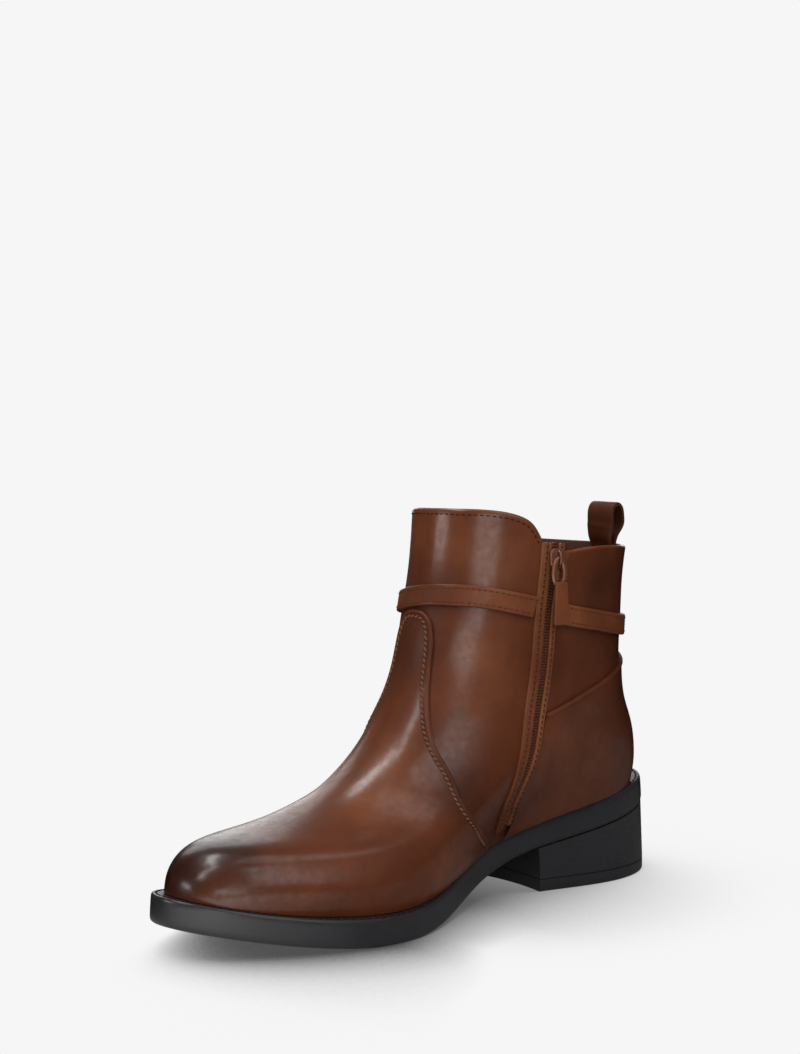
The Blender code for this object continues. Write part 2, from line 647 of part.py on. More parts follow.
def rounded(width, top, bottom, corner):
    """Outline of an upright plate with cut corners."""
    half = width / 2
    return [(-half + corner, bottom), (half - corner, bottom), (half, bottom + corner), (half, top - corner),
            (half - corner, top), (-half + corner, top), (-half, top - corner), (-half, bottom + corner)]


def finish(name):
    """Material of one of the finishes, made once."""
    material = bpy.data.materials.get(name)
    if material is None:
        colour, rough, metal = FINISHES[name]
        material = bpy.data.materials.new(name)
        material.use_nodes = True
        shader = material.node_tree.nodes["Principled BSDF"]
        shader.inputs["Base Color"].default_value = (*colour, 1.0)
        shader.inputs["Roughness"].default_value = rough
        shader.inputs["Metallic"].default_value = metal
    return material


def add_piece(name, solid, material, parent, origin=(0.0, 0.0, 0.0)):
    """Mesh object for one piece, its origin where its parent is."""
    points, faces = solid
    mesh = bpy.data.meshes.new(name)
    mesh.from_pydata([tuple(point) for point in points * MM - origin], [], faces)
    work = bmesh.new()
    work.from_mesh(mesh)
    bmesh.ops.triangulate(work, faces=work.faces[:])
    bmesh.ops.recalc_face_normals(work, faces=work.faces[:])
    work.to_mesh(mesh)
    work.free()
    mesh.shade_smooth()
    mesh.set_sharp_from_angle(angle=math.radians(38))
    mesh.materials.append(finish(material))
    piece = bpy.data.objects.new(name, mesh)
    bpy.context.scene.collection.objects.link(piece)
    piece.parent = parent
    return piece


def add_empty(name, at, parent=None):
    empty = bpy.data.objects.new(name, None)
    bpy.context.scene.collection.objects.link(empty)
    empty.location = at
    empty.parent = parent
    return empty


def combine(piece, solid, operation):
    """Join a solid to a piece, or cut it out, with a hidden helper."""
    helper = add_piece(f"{piece.name}_{operation.lower()}", solid, "brown_metal", piece.parent,
                       origin=tuple(piece.parent.location))
    helper.hide_render = True
    helper.display_type = "WIRE"
    modifier = piece.modifiers.new(operation.lower(), "BOOLEAN")
    modifier.operation = operation
    modifier.solver = "EXACT"
    modifier.object = helper


def add_leather(boot):
    """The hollow upper and everything cut from its pattern."""
    zips = zip_outlines()
    panels = panel_outlines()
    straps = strap_outlines()
    verts, faces, middle = cut_pattern({**zips, **panels, **straps})
    faces = welded(verts, faces)

    def part(name, where, low, high, material):
        add_piece(name, shell(verts, faces[where], low, high), material, boot)

    def climbing(where, low, high):
        rise = strap_climb(verts[np.unique(faces[where])])
        return rise + low, rise + high

    where = {name: inside(middle, loop) for name, loop in {**zips, **panels, **straps}.items()}
    on = GAP
    over = GAP + STRAP_THICK + GAP
    part("upper", ~where["slit"], -UPPER_WALL, 0.0, "brown_leather")
    part("vamp", where["vamp"], on, on + PANEL_THICK, "brown_leather")
    part("counter", where["counter_inner"] | where["counter_outer"], on, on + PANEL_THICK, "brown_leather")
    part("zip_facing", where["facing"] & ~where["slit"], on, on + FACING_THICK, "strap_leather")
    part("zip_tape", where["tape"], -UPPER_WALL - GAP - TAPE_THICK, -UPPER_WALL - GAP, "brown_zip")
    part("zip_chain", where["chain"], -UPPER_WALL, CHAIN_PROUD, "brown_zip")
    part("strap_front", where["strap_front"],
         *climbing(where["strap_front"], on, on + STRAP_THICK), "strap_leather")
    part("strap_rear", where["strap_rear_inner"] | where["strap_rear_outer"], on, on + STRAP_THICK,
         "strap_leather")
    frame = where["buckle_out"] & ~where["buckle_in"]
    part("buckle_frame", frame, *climbing(frame, over, over + BUCKLE_THICK), "brown_metal")
    prong = where["prong"]
    bar_top = over + BUCKLE_THICK + GAP
    part("buckle_prong", prong, *climbing(prong, bar_top, bar_top + PRONG_THICK), "brown_metal")
    keeper = where["keeper"]
    part("strap_keeper", keeper, *climbing(keeper, over, over + PANEL_THICK), "strap_leather")


def add_slider(boot):
    wide, high, _ = SLIDER_SIZE
    slider = add_piece("zip_slider", plate(rounded(wide, high / 2, -high / 2, 1.6), SLIDER_LOW, SLIDER_FACE),
                       "brown_metal", boot)
    half = BRIDGE_WIDTH / 2
    reach = BRIDGE_REACH
    roof = SLIDER_FACE + BRIDGE_CLEAR
    combine(slider, block((-half, -reach, SLIDER_FACE - 0.4), (half, reach, roof + BRIDGE_BAR)), "UNION")
    inner = reach - BRIDGE_BAR
    combine(slider, block((-half - 1, -inner, SLIDER_FACE), (half + 1, inner, roof)), "DIFFERENCE")


def add_pull(boot):
    """Pull with an eye round the slider's bridge, hung on the hinge's axis."""
    middle, _, _, out = slider_frame()
    hinge = (middle + out * HINGE_OUT) * MM
    swing = add_empty("pull_hinge", hinge, boot)
    low, high = HINGE_OUT - PULL_BAR / 2, HINGE_OUT + PULL_BAR / 2
    top = PULL_BAR / 2
    outline = rounded(PULL_WIDTH, top, top - PULL_LENGTH, 1.0)
    pull = add_piece("zip_pull", plate(outline, low, high), "brown_metal", swing, origin=hinge)
    eye_wide, eye_long = PULL_EYE
    eye_top = top - PULL_BAR
    combine(pull, block((-eye_wide / 2, eye_top - eye_long, low - 1), (eye_wide / 2, eye_top, high + 1)),
            "DIFFERENCE")
    foot = top - PULL_LENGTH - 1.0
    tab = plate(rounded(TAB_WIDTH, foot + TAB_LENGTH, foot, 0.8), high + GAP, high + GAP + TAB_THICK)
    add_piece("zip_pull_tab", tab, "strap_leather", swing, origin=hinge)


def stand_in_middle(boot):
    """Move the whole boot so that the middle of its box is on the z axis."""
    bpy.context.view_layer.update()
    corners = []
    for piece in bpy.data.objects:
        if piece.type == "MESH" and not piece.hide_render:
            corners += [piece.matrix_world @ vert.co for vert in piece.data.vertices]
    corners = np.array(corners)
    middle = (corners.min(0) + corners.max(0)) / 2
    boot.location = (-middle[0], -middle[1], 0.0)
    bpy.context.view_layer.update()


def main():
    for old in list(bpy.data.objects):
        bpy.data.objects.remove(old)
    boot = add_empty("boot", (0.0, 0.0, 0.0))
    add_piece("outsole", outsole(), "black_rubber", boot)
    add_piece("heel_block", heel_block(), "black_rubber", boot)
    add_piece("heel_toplift", heel_toplift(), "black_rubber", boot)
    add_piece("insole", insole(), "lining_leather", boot)
    add_leather(boot)
    add_piece("pull_loop", pull_loop(), "strap_leather", boot)
    add_slider(boot)
    add_pull(boot)
    stand_in_middle(boot)


main()
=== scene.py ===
"""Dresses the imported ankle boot: leather, seams, zip, strap, sole, floor, light and camera.

Shapes are worked out in millimetres in the boot's own working frame, where x runs from the back
of the sole to the toe, y to the inner side of the foot and z up. They are set down where the
packed sole lies.
"""
import math

import bmesh
import bpy
import numpy as np
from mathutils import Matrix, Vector


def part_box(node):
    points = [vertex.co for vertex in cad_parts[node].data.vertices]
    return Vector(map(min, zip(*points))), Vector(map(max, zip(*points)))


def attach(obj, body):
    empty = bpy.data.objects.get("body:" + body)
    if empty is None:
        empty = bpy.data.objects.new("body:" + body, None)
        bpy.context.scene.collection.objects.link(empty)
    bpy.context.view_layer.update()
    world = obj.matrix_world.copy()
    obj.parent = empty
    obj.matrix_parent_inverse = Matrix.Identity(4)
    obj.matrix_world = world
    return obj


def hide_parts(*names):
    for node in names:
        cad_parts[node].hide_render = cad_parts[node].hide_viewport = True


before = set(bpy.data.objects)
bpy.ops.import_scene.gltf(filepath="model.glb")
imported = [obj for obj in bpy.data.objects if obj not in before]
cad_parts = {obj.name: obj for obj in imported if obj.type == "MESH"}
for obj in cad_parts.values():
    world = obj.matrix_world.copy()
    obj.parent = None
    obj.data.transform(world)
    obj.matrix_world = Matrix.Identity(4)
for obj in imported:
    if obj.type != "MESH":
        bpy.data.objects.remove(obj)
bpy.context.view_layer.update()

MM = 0.001
GAP = 0.3
TUCK = 0.1  # lower edges of pieces lie this far over the upper
SHARP_EDGE = 50  # degrees between faces


def table(columns, rows):
    """Columns of a short table by their names."""
    return dict(zip(columns, np.array(rows, float).T))


# Camera, in the working frame, for an image of 800 x 1054
CAMERA_AT = (736.0, 708.0, 227.1)
CAMERA_YAW = 40.17
CAMERA_PITCH = 4.02
CAMERA_LENS = 74.9
SENSOR_WIDTH = 36.0

# Floor, in metres. A range gives two values and what each is turned into
BACKGROUND = (0.921, 0.921, 0.921)
FLOOR_HALF = 12.0
FLOOR_GREY = (0.50, 0.50, 0.50)
FLOOR_REACH = 0.11  # how far from the boot its soft shadow reaches
HEEL_DEEPEST = (-0.16, -0.02, 0.6, 0.10)  # the shadow's brightness by x
HEEL_OPEN = (0.30, 0.92)  # how open the floor is where it is darkest and where the shadow ends
TOE_SHADOW_REACH = (0.04, 0.13)  # at the ball of the foot and at the toe
TOE_SHADOW_BETWEEN = (0.03, 0.12)  # from the ball of the foot to the toe
TOE_SHADOW_FROM = (-0.15, -0.94, 0.24)  # the side from which light passes under the toe
TOE_OPEN = (0.47, 0.88, 0.08, 1.0)
HEEL_TO_TOE = (-0.01, 0.05, 0.0, 1.0)  # where one shadow passes into the other
SHEEN_AHEAD = (0.06, 0.28, 0.20, 4.6)  # the floor's image in the leather, by x, by y and by distance
SHEEN_INNER = (-0.08, 0.12, 0.0, 1.0)
SHEEN_NEAR = (0.42, 0.62, 1.0, 0.0)

# Softboxes: degrees right of the camera and up, distance, width, height, watts, and if leather mirrors them
SOFTBOXES = [
    (-46, 46, 1.1, 0.17, 0.75, 3.1, True),
    (-100, 68, 1.1, 0.70, 0.17, 4.8, True),
    (28, 38, 1.2, 0.42, 1.00, 3.0, True),
    (70, 78, 1.2, 0.50, 0.50, 1.4, True),
    (-69, 7, 1.1, 0.42, 0.14, 1.45, True),
    (-2, 6, 1.3, 0.66, 0.20, 1.8, True),
    (6, 15, 1.3, 0.36, 0.30, 0.4, True),
    (-165, 26, 1.3, 0.90, 0.50, 2.2, True),
    (178, 9, 1.3, 0.90, 0.30, 1.8, True),
    (30, 45, 1.5, 1.60, 1.20, 7.3, False),
    (105, 25, 1.5, 1.20, 1.00, 3.2, False)]
LIT_POINT = (0.0, 0.0, 0.07)
SKY_COLOUR = (0.97, 0.98, 1.0)
SKY_STRENGTH = (0.20, 0.03)  # for soft light and in mirror images

# Sole and heel
SOLE_LENGTH = 264.0
SOLE_THICK = 11.5
SOLE_POINTS = 60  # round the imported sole
SOLE_FINE_POINTS = 240
WELT_IN = 2.3  # stitches lie this far inside the sole's edge
WELT_OVER = 0.12
HEEL_LENGTH = 77.5
HEEL_HEIGHT_BACK = 33.2
HEEL_FINE_POINTS = 1440
HEEL_POINTS = 96
BREAST_POINTS = 18
BREAST_HOLLOW = 3.5
HEEL_FLARE = 1.0
TOPLIFT_THICK = 5.3
HEEL_LIFTS = 7
LIFT_GROOVE = 0.05
LIFT_SHAPE = (  # height and groove, as shares
    (0.0, 1.0), (0.06, 0.35), (0.16, 0.0), (0.84, 0.0), (0.94, 0.35))
TOPLIFT_SHAPE = (  # height and how far the edge is rounded in
    (0.0, 0.7), (0.2, 0.25), (0.7, 0.0),
    (TOPLIFT_THICK - 0.7, 0.0), (TOPLIFT_THICK - 0.2, 0.12), (TOPLIFT_THICK, 0.4))
TOE_TURN = 3.0
TURN_FROM = 110.0

# Upper and what lies on it
UPPER_WALL = 2.2
UPPER_FOOT = (0.0, 0.004, 0.012)  # first shares of the height, close together over the sole
UPPER_LEVELS = 112
RIM_BELOW = 0.8  # the wall ends this share of the rim's radius below the topline
RIM_STEPS = 9
EDGE_STEP = 1.3  # between points of a panel's edge
PANEL_TOP = 1.45  # height of vamp and counter over the upper
PANEL_TURN = 0.25  # how far a panel's edge turns down
PANEL_CLEAR = 0.6
VAMP_LEVELS = 80
COUNTER_LEVELS = 70
LIP_SHAPE = ((0.0, 0.55), (0.12, 0.85), (0.35, 1.0), (0.6, 1.0), (0.85, 0.88), (1.0, 0.7))
VAMP_LIP = (2.1, 0.35)  # width, and height over the panel
COUNTER_LIP = (2.4, 0.5)
LIP_LIGHTER = -0.02
SEAM_IN = 3.0  # from the vamp's edge to its stitches
SEAM_START = 10  # the stitches stop this many points above the sole
# half width of the dark strip that is painted shade in the seam's groove
GROOVE_SHADE_HALF = 0.85
COLLAR_SEAM_TO = 66.0  # degrees to each side
COLLAR_SEAM_IN = 2.3
STITCH_OVER = 0.05
STRAP_TOP = 2.3
STRAP_WIDTH = 9.2
STRAP_POINTS = 80
STRAP_SEAM_IN = 1.6
STRAP_TIP_AT = -112.0
STRAP_CLIMB = (-71.0, -84.0)
STRAP_END_RINGS = (7.65, 6.90)
UPPER_SLIT = 3.3  # the upper is cut back this far from the zip's middle, under the facing
CHAIN_HALF = 1.6  # half of the zip's chain between the facing's strips
CHAIN_TOP = 0.3
CHAIN_LOW = -2.2
ZIP_STEP = 1.6
TOOTH_SIDE = 0.7
TOOTH_TOP = 0.35
FACING_FRONT = 6.6
FACING_REAR = 4.4
REAR_CLEAR = FACING_REAR + PANEL_CLEAR
FACING_TOP = 1.3
FACING_FOOT = 1.8
TAPE_HALF = 9.0
TAPE_DEPTH = 2.5
TAPE_LOW = TAPE_DEPTH + 0.8
FOLD_TOP = FACING_TOP + 0.2
FOLD_STEPS = 8
INSOLE_THICK = 2.5
INSOLE_CLEAR = 0.1
INSOLE_ROUND = 0.6
INSOLE_POINTS = 180

# Pull loop
LOOP_WIDTH = 15.5
LOOP_SIDE = 3.0
LOOP_THICK = 1.6
LOOP_TOP = 168.4
LOOP_FOOT = 137.0
LOOP_FOOT_RING = 8.0
LOOP_CROWN = 5.0
LOOP_SPREAD = 8.6
LOOP_FLAT = 8.0
LOOP_LEAN = 5.4
LOOP_STEPS = 90

# Zip slider and pull
SLIDER_AT = (73.6, 8.48)
SLIDER_SIZE = (7.6, 8.4)
SLIDER_CORNER = 2.2
SLIDER_EDGE = 0.4
SLIDER_LOW = 1.6
SLIDER_FACE = 3.0
BRIDGE_HALF = 3.0
BRIDGE_RISE = 2.6
BRIDGE_BAR = 0.55
HINGE_OUT = 4.0
PULL_BAR = 1.2
PULL_LENGTH = 28.0
LINK_HALF = (2.75, 6.0)  # across and along the pull
LINK_BELOW = 6.6
LINK_BAR = (1.0, 0.25)  # radius at the hinge, and how much more at the sides
CORE_HALF = 2.4
CORE_BELOW = 10.4
CORE_EDGE = 0.25
PULL_CORNER = 1.0
TAB_WIDTH = 7.2
TAB_LENGTH = 18.5
TAB_TAPER = 0.2  # share by which the tab is narrower at its top
TAB_THICK = 1.5
TAB_OVER = 0.6

# Buckle on the outer side
BUCKLE_AT = -81.0
BUCKLE_RING = 7.07
BUCKLE_ALONG = 9.5
BUCKLE_HIGH = 8.8
BUCKLE_LIFT = 0.9
BUCKLE_BAR = 1.2
BUCKLE_CORNER = 2.4
PRONG_BAR = 0.95
PRONG_LIFT = 1.5
KEEPER_AT = -97.0
KEEPER_WIDTH = 5.4
KEEPER_OVER = 1.6
KEEPER_TOP = 1.4
KEEPER_STEPS = 24

# Rows of bars: pitch, one bar's length, width and height, and its slant in degrees
BARS = {
    "vamp_stitches": (2.4, (2.4, 1.05, 0.9), 28.0),
    "collar_stitches": (2.6, (1.9, 0.55, 0.45), 0.0),
    "strap_stitches": (2.6, (1.9, 0.5, 0.4), 0.0),
    "zip_teeth": (1.25, (0.8, 1.5, 1.2), 0.0),
    "zip_stitches": (2.4, (1.9, 0.7, 0.55), 30.0),
    "zip_stitch_holes": (2.4, (1.0, 1.1, 0.45), 0.0),
    "tape_fold_stitches": (1.8, (1.5, 0.5, 0.45), 0.0),
    "welt_stitches": (3.4, (2.5, 0.8, 0.6), 0.0)}

# Cloudy parts of the leather: scale and detail of the noise, lowest and highest value
CLOUDS = (38.0, 4.0, -0.10, 0.10)
STREAKS = (160.0, 2.0, -0.03, 0.03)
SHINE = (320.0, 4.0, 0.62, 1.38)
PORE_SCALE = 1500.0
PORE_SHARE = 0.5
GRAIN_SCALE = 900.0
GRAIN_HEIGHT = 0.0003
SOFT_SCALE = 120.0
SOFT_SHARE = 1.6
DARK_BROWN = (0.020, 0.0048, 0.0024)

SOLE_TOP = table(("x", "top"), [
    (0, 44.0), (40, 38.3), (77, 31.0), (107, 23.0), (140, 14.5),
    (170, 11.3), (200, 12.0), (230, 16.0), (264, 23.4)])
SOLE_OUTLINE = table(("share", "inner", "outer"), [
    (0.00, 51.5, 51.5), (0.10, 44.8, 44.8), (0.38, 21.6, 32.0),
    (0.68, 53.6, 47.5), (0.88, 50.0, 48.0), (1.00, 49.0, 49.0)])
SOLE_EDGE = table(("height", "out"), [
    (0.0, -0.6), (0.03, -0.15), (0.07, 0.1), (0.15, 0.25), (0.3, 0.2), (0.5, 0.08), (0.75, -0.1),
    (0.87, -0.22), (0.94, -0.4), (0.98, -0.65), (1.0, -1.0), (1.0, -1.6), (1.0, -3.0), (1.0, -5.0)])

# The last: one ring a row from the feather line up to the collar
STATIONS = (0.0, 0.12, 0.38, 0.68, 0.88, 1.0)
INNER = ("heel_end", "heel_in", "waist_in", "ball_in", "toe_in", "toe_end")
OUTER = ("heel_end", "heel_out", "waist_out", "ball_out", "toe_out", "toe_end")
RINGS = table((
    "back_x", "back_z", "front_x", "front_z", "sag", "heel_end", "heel_in", "heel_out",
    "waist_in", "waist_out", "ball_in", "ball_out", "toe_in", "toe_out", "toe_end"), [
    (10.0, 44, 255.2, 20.5, 1.00, 54.0, 42.0, 42.0, 22.0, 30.0, 46.0, 42.0, 45.0, 43.0, 50.0),
    (9.0, 53, 253.0, 29.5, 0.85, 56.0, 46.0, 46.0, 28.0, 34.0, 48.5, 44.0, 46.5, 44.0, 48.5),
    (9.6, 62, 241.5, 37.7, 0.68, 56.0, 47.5, 47.5, 33.0, 36.0, 45.5, 41.2, 43.5, 40.0, 44.0),
    (11.8, 72, 214.0, 41.0, 0.50, 52.0, 47.0, 47.0, 34.5, 36.5, 41.0, 37.8, 38.5, 34.6, 39.5),
    (16.3, 83, 180.2, 49.8, 0.33, 47.0, 45.0, 45.0, 36.0, 37.0, 37.0, 35.2, 35.5, 33.6, 37.0),
    (18.1, 95, 154.4, 67.2, 0.18, 42.0, 42.0, 42.0, 37.0, 37.5, 35.5, 34.6, 34.5, 33.8, 36.5),
    (16.9, 108, 137.8, 91.7, 0.07, 36.5, 38.3, 38.3, 37.0, 37.0, 36.5, 36.2, 36.0, 35.6, 36.5),
    (15.2, 122, 130.3, 118.0, 0.0, 33.0, 36.5, 36.5, 37.5, 37.5, 37.5, 37.5, 37.5, 37.5, 38.0),
    (14.2, 137, 125.0, 140.0, 0.0, 30.5, 36.0, 36.0, 39.0, 39.0, 39.0, 39.0, 39.0, 39.0, 39.0),
    (11.6, 152, 122.2, 162.0, 0.0, 29.5, 36.0, 36.0, 40.0, 40.0, 40.0, 40.0, 40.0, 40.0, 40.0),
    (9.2, 170, 120.4, 185.0, 0.0, 30.0, 36.8, 36.8, 41.0, 41.0, 41.0, 41.0, 41.0, 41.0, 41.0)])
RING_COUNT = len(RINGS["sag"])

# Lines drawn on the last. Columns: degrees round it (0 at the front, 180 at the back) and ring
TOPLINE = np.array([
    (0, 9.31), (20, 9.33), (40, 9.35), (48, 9.33), (56, 9.26), (62, 9.10), (66, 8.86),
    (69.5, 8.65), (74, 8.60), (85, 8.66), (96, 8.74), (123, 8.78), (180, 8.80)])
OUTER_DIP = (-40.0, 24.0, 0.075)  # the collar is lower here on the outer side: angle, reach and rings
TAPE_FOLD = np.array([(74.5, 8.57), (80.4, 8.59), (77.5, 8.04)])
VAMP_EDGE = np.array([
    (0, 7.33), (6, 7.31), (11.5, 7.20), (15.5, 6.98), (17.7, 6.68), (19.5, 6.27), (26, 5.70), (36, 5.21),
    (50, 4.67), (67, 3.76), (83, 2.59), (92.5, 1.55), (97.6, 0.85), (101, 0.0)])
ZIP_LINE = np.array([
    (72.5, 8.80), (73.3, 8.20), (74.5, 7.40), (76.2, 6.70), (82.0, 5.30),
    (92.5, 3.75), (99.5, 2.35), (103.3, 1.0)])
COUNTER_TOP = np.array([
    (80, 5.16), (103.6, 5.27), (121, 5.37), (143, 5.46), (165, 5.53), (180, 5.55)])
COUNTER_OUTER_END = np.array([
    (180, 5.55), (165, 5.53), (150, 5.42), (138, 5.0), (129, 4.1), (124, 2.9), (121, 1.5), (119, 0.0)])
STRAP_LINE = np.array([
    (-180, 6.36), (-160, 6.42), (-132, 6.60), (-106, 6.85), (-80, 7.07), (-50, 7.28), (-25, 7.44),
    (-13, 7.52), (0, 7.60), (22, 7.66), (42, 7.62), (67, 7.40), (90, 7.12), (106, 6.94), (132, 6.62),
    (160, 6.42), (180, 6.36)])

# Soft folds of the leather: middle in degrees and ring, reach in both, and depth in millimetres
FOLDS = [
    (38, 6.4, 14, 0.45, -0.25), (52, 5.6, 16, 0.4, -0.25), (60, 6.9, 10, 0.35, 0.15),
    (30, 5.75, 12, 0.3, 0.15), (-38, 6.3, 16, 0.45, -0.5), (-58, 5.5, 16, 0.4, -0.5),
    (-34, 5.5, 14, 0.3, 0.3), (25, 3.9, 18, 0.35, -0.35), (-30, 4.0, 20, 0.35, -0.5),
    (115, 4.2, 14, 0.5, -0.3), (-110, 4.3, 16, 0.5, -0.4)]

# The leather's tone, partly burnished colour and partly painted shade and painted light: middle x, side and
# z, alike on both sides, reach, and how much lighter
TONE_WITH_PAINTED_SHADE = [
    (250, 6, 36, 15, -0.40), (258, 0, 26, 14, -0.24), (236, 12, 40, 16, -0.34), (205, 6, 46, 15, -0.08),
    (135, 0, 112, 24, -0.28), (122, 18, 138, 16, -0.06), (130, 34, 56, 18, -0.28), (146, 38, 46, 16, -0.18),
    (178, 43, 33, 16, -0.14), (104, 34, 38, 20, -0.24), (81, 38, 104, 15, -0.18), (62, 38, 135, 14, -0.14),
    (30, 25, 138, 36, -0.16), (28, 30, 75, 42, -0.28), (228, 24, 32, 14, -0.14), (165, 20, 58, 20, 0.20),
    (118, 25, 108, 18, 0.14), (118, 20, 152, 26, 0.10), (128, 4, 142, 12, -0.16), (165, 0, 68, 14, -0.18),
    (203, 0, 56, 14, -0.20), (226, 0, 49, 12, -0.24)]
MIDDLE_TONE = 0.52
# the collar's rounded rim is painted this much lighter, a painted highlight
RIM_PAINTED_HIGHLIGHT = 0.16


# Lines and surfaces

def spline(knots, values, at):
    """Natural cubic spline through the rows of values."""
    knots = np.asarray(knots, float)
    values = np.asarray(values, float).reshape(len(knots), -1)
    step = np.diff(knots)
    system = np.eye(len(knots))
    right = np.zeros_like(values)
    for i in range(1, len(knots) - 1):
        system[i, i - 1:i + 2] = (step[i - 1], 2 * (step[i - 1] + step[i]), step[i])
        right[i] = 6 * ((values[i + 1] - values[i]) / step[i] - (values[i] - values[i - 1]) / step[i - 1])
    bend = np.linalg.solve(system, right)
    at = np.asarray(at, float)
    i = np.clip(np.searchsorted(knots, at) - 1, 0, len(knots) - 2)
    width = step[i][..., None]
    ahead = (at - knots[i])[..., None] / width
    behind = 1 - ahead
    curve = (behind ** 3 - behind) * bend[i] + (ahead ** 3 - ahead) * bend[i + 1]
    return behind * values[i] + ahead * values[i + 1] + curve * width ** 2 / 6


def curve_at(knots, values, at):
    """Spline through single values."""
    return spline(knots, values, at)[..., 0]


def unit(ways):
    return ways / np.linalg.norm(ways, axis=-1, keepdims=True)


def lengths_along(points):
    """Length from the first point to each point of a line."""
    return np.concatenate([[0.0], np.cumsum(np.linalg.norm(np.diff(points, axis=0), axis=1))])


def toe_turn(x):
    return TOE_TURN * np.clip((x - TURN_FROM) / (SOLE_LENGTH - TURN_FROM), 0, None) ** 2


def sole_top(x):
    return curve_at(SOLE_TOP["x"], SOLE_TOP["top"], x)


def sole_underside(x):
    """Flat seat over the heel, then the arch, a flat spot under the ball and the toe spring."""
    breast = sole_top(np.float64(HEEL_LENGTH)) - SOLE_THICK
    seat = HEEL_HEIGHT_BACK + (breast - HEEL_HEIGHT_BACK) * x / HEEL_LENGTH
    return np.where(x < HEEL_LENGTH, seat, np.maximum(sole_top(x) - SOLE_THICK, 0.0))


def round_angles(count):
    """Radians once round, positive on the inner side."""
    angle = np.linspace(0, 2 * math.pi, count, endpoint=False)
    return np.where(angle > math.pi, angle - 2 * math.pi, angle)


def sole_outline(angle, out):
    """Points of the sole's outline, angle 0 at the toe and positive on the inner side."""
    share = (1 + np.cos(angle)) / 2
    inner, outer = [curve_at(SOLE_OUTLINE["share"], SOLE_OUTLINE[side], share) for side in ("inner", "outer")]
    x = SOLE_LENGTH * share
    y = np.sin(angle) * np.where(angle >= 0, inner, outer)
    line = np.stack([x, y + toe_turn(x)], -1)
    ahead = np.roll(line, -1, 0) - np.roll(line, 1, 0)
    return line + out * unit(np.stack([ahead[:, 1], -ahead[:, 0]], -1))


def set_down():
    """The working frame's origin in the row's frame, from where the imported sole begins."""
    rings = [sole_outline(round_angles(SOLE_POINTS), out) for out in SOLE_EDGE["out"]]
    low = np.vstack(rings).min(0)
    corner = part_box("outsole")[0]
    return np.array([corner[0] - low[0] * MM, corner[1] - low[1] * MM, 0.0])


PLACE = set_down()


def last_surface(angle, ring):
    """Point of the last at an angle in radians and a ring number."""
    angle, ring = np.broadcast_arrays(np.asarray(angle, float), np.asarray(ring, float))
    row = spline(np.arange(RING_COUNT), np.column_stack(list(RINGS.values())), ring)
    row = dict(zip(RINGS, np.moveaxis(row, -1, 0)))
    feather = {name: column[0] for name, column in RINGS.items()}
    share = (1 + np.cos(angle)) / 2
    x = row["back_x"] + (row["front_x"] - row["back_x"]) * share
    feather_x = feather["back_x"] + (feather["front_x"] - feather["back_x"]) * share
    dip = sole_top(feather_x) - feather["back_z"] - (feather["front_z"] - feather["back_z"]) * share
    z = row["back_z"] + (row["front_z"] - row["back_z"]) * share + row["sag"] * dip
    weight = np.moveaxis(spline(STATIONS, np.eye(len(STATIONS)), share), -1, 0)
    inner, outer = [sum(part * row[name] for part, name in zip(weight, names)) for names in (INNER, OUTER)]
    y = np.sin(angle) * np.where(angle >= 0, inner, outer) + toe_turn(x)
    return np.stack([x, y, z + GAP], -1)


def directions(angle, ring):
    """Steps of the surface for one radian and for one ring."""
    small = 1e-3
    round_step = (last_surface(angle + small, ring) - last_surface(angle - small, ring)) / (2 * small)
    ring_step = (last_surface(angle, ring + small) - last_surface(angle, ring - small)) / (2 * small)
    return round_step, ring_step


def per_degree(angle, ring):
    return np.radians(1.0) * np.linalg.norm(directions(np.radians(angle), ring)[0], axis=-1)


def per_ring(angle, ring):
    return np.linalg.norm(directions(np.radians(angle), ring)[1], axis=-1)


def clear_of_sole(ring):
    """0 at the feather line, 1 from half a ring above it."""
    return np.clip(np.asarray(ring) / 0.5, 0, 1)


def on_last(line):
    """Points of the last for rows of degrees and ring."""
    return last_surface(np.radians(line[:, 0]), line[:, 1])


def outward(line):
    """Unit normals of the last, level at the feather line so that walls stand on the sole."""
    normal = unit(np.cross(*directions(np.radians(line[:, 0]), line[:, 1])))
    normal[..., 2] *= clear_of_sole(line[:, 1])
    return unit(normal)


def folds(line):
    """Height of the leather's soft folds at rows of degrees and ring."""
    height = np.zeros(len(line))
    for angle, ring, wide, high, depth in FOLDS:
        away = ((line[:, 0] - angle) / wide) ** 2 + ((line[:, 1] - ring) / high) ** 2
        height += depth * np.exp(-away)
    return height


def skin(line, offset):
    """Points on the last's surface moved outward, for rows of degrees and ring."""
    base = on_last(line)
    moved = base + (offset + folds(line))[:, None] * outward(line)
    climb = sole_top(moved[:, 0]) - sole_top(base[:, 0])
    moved[:, 2] += climb * (1 - clear_of_sole(line[:, 1]))
    return moved


def on_skin(line, height):
    """Points and outward directions of a line on the upper."""
    return skin(line, height), outward(line)


def even_line(rows, step):
    """Smooth line through rows of degrees and ring, with points a step apart on the surface."""
    along = lengths_along(skin(rows, 0.0))
    count = max(2, int(round(along[-1] / step)) + 1)
    return spline(along, rows, np.linspace(0, along[-1], count))


def beside(line, distance):
    """A line moved sideways on the surface, forward for a line that runs down the inner side."""
    if distance == 0:
        return line
    ahead = unit(np.gradient(on_last(line), axis=0))
    side = np.cross(ahead, outward(line)) * distance
    both = np.stack(directions(np.radians(line[:, 0]), line[:, 1]), -1)
    square = np.einsum("nki,nkj->nij", both, both)
    moved = np.linalg.solve(square, np.einsum("nki,nk->ni", both, side)[..., None])[..., 0]
    return line + np.stack([np.degrees(moved[:, 0]), moved[:, 1]], 1)


def lengthened(line, extra):
    """A line with its last point moved on by an extra length."""
    tail = line[-1] - line[-2]
    reach = np.linalg.norm(np.diff(skin(line[-2:], 0.0), axis=0))
    return np.vstack([line, line[-1] + tail * extra / reach])


def mirrored(line):
    return line * (-1.0, 1.0)


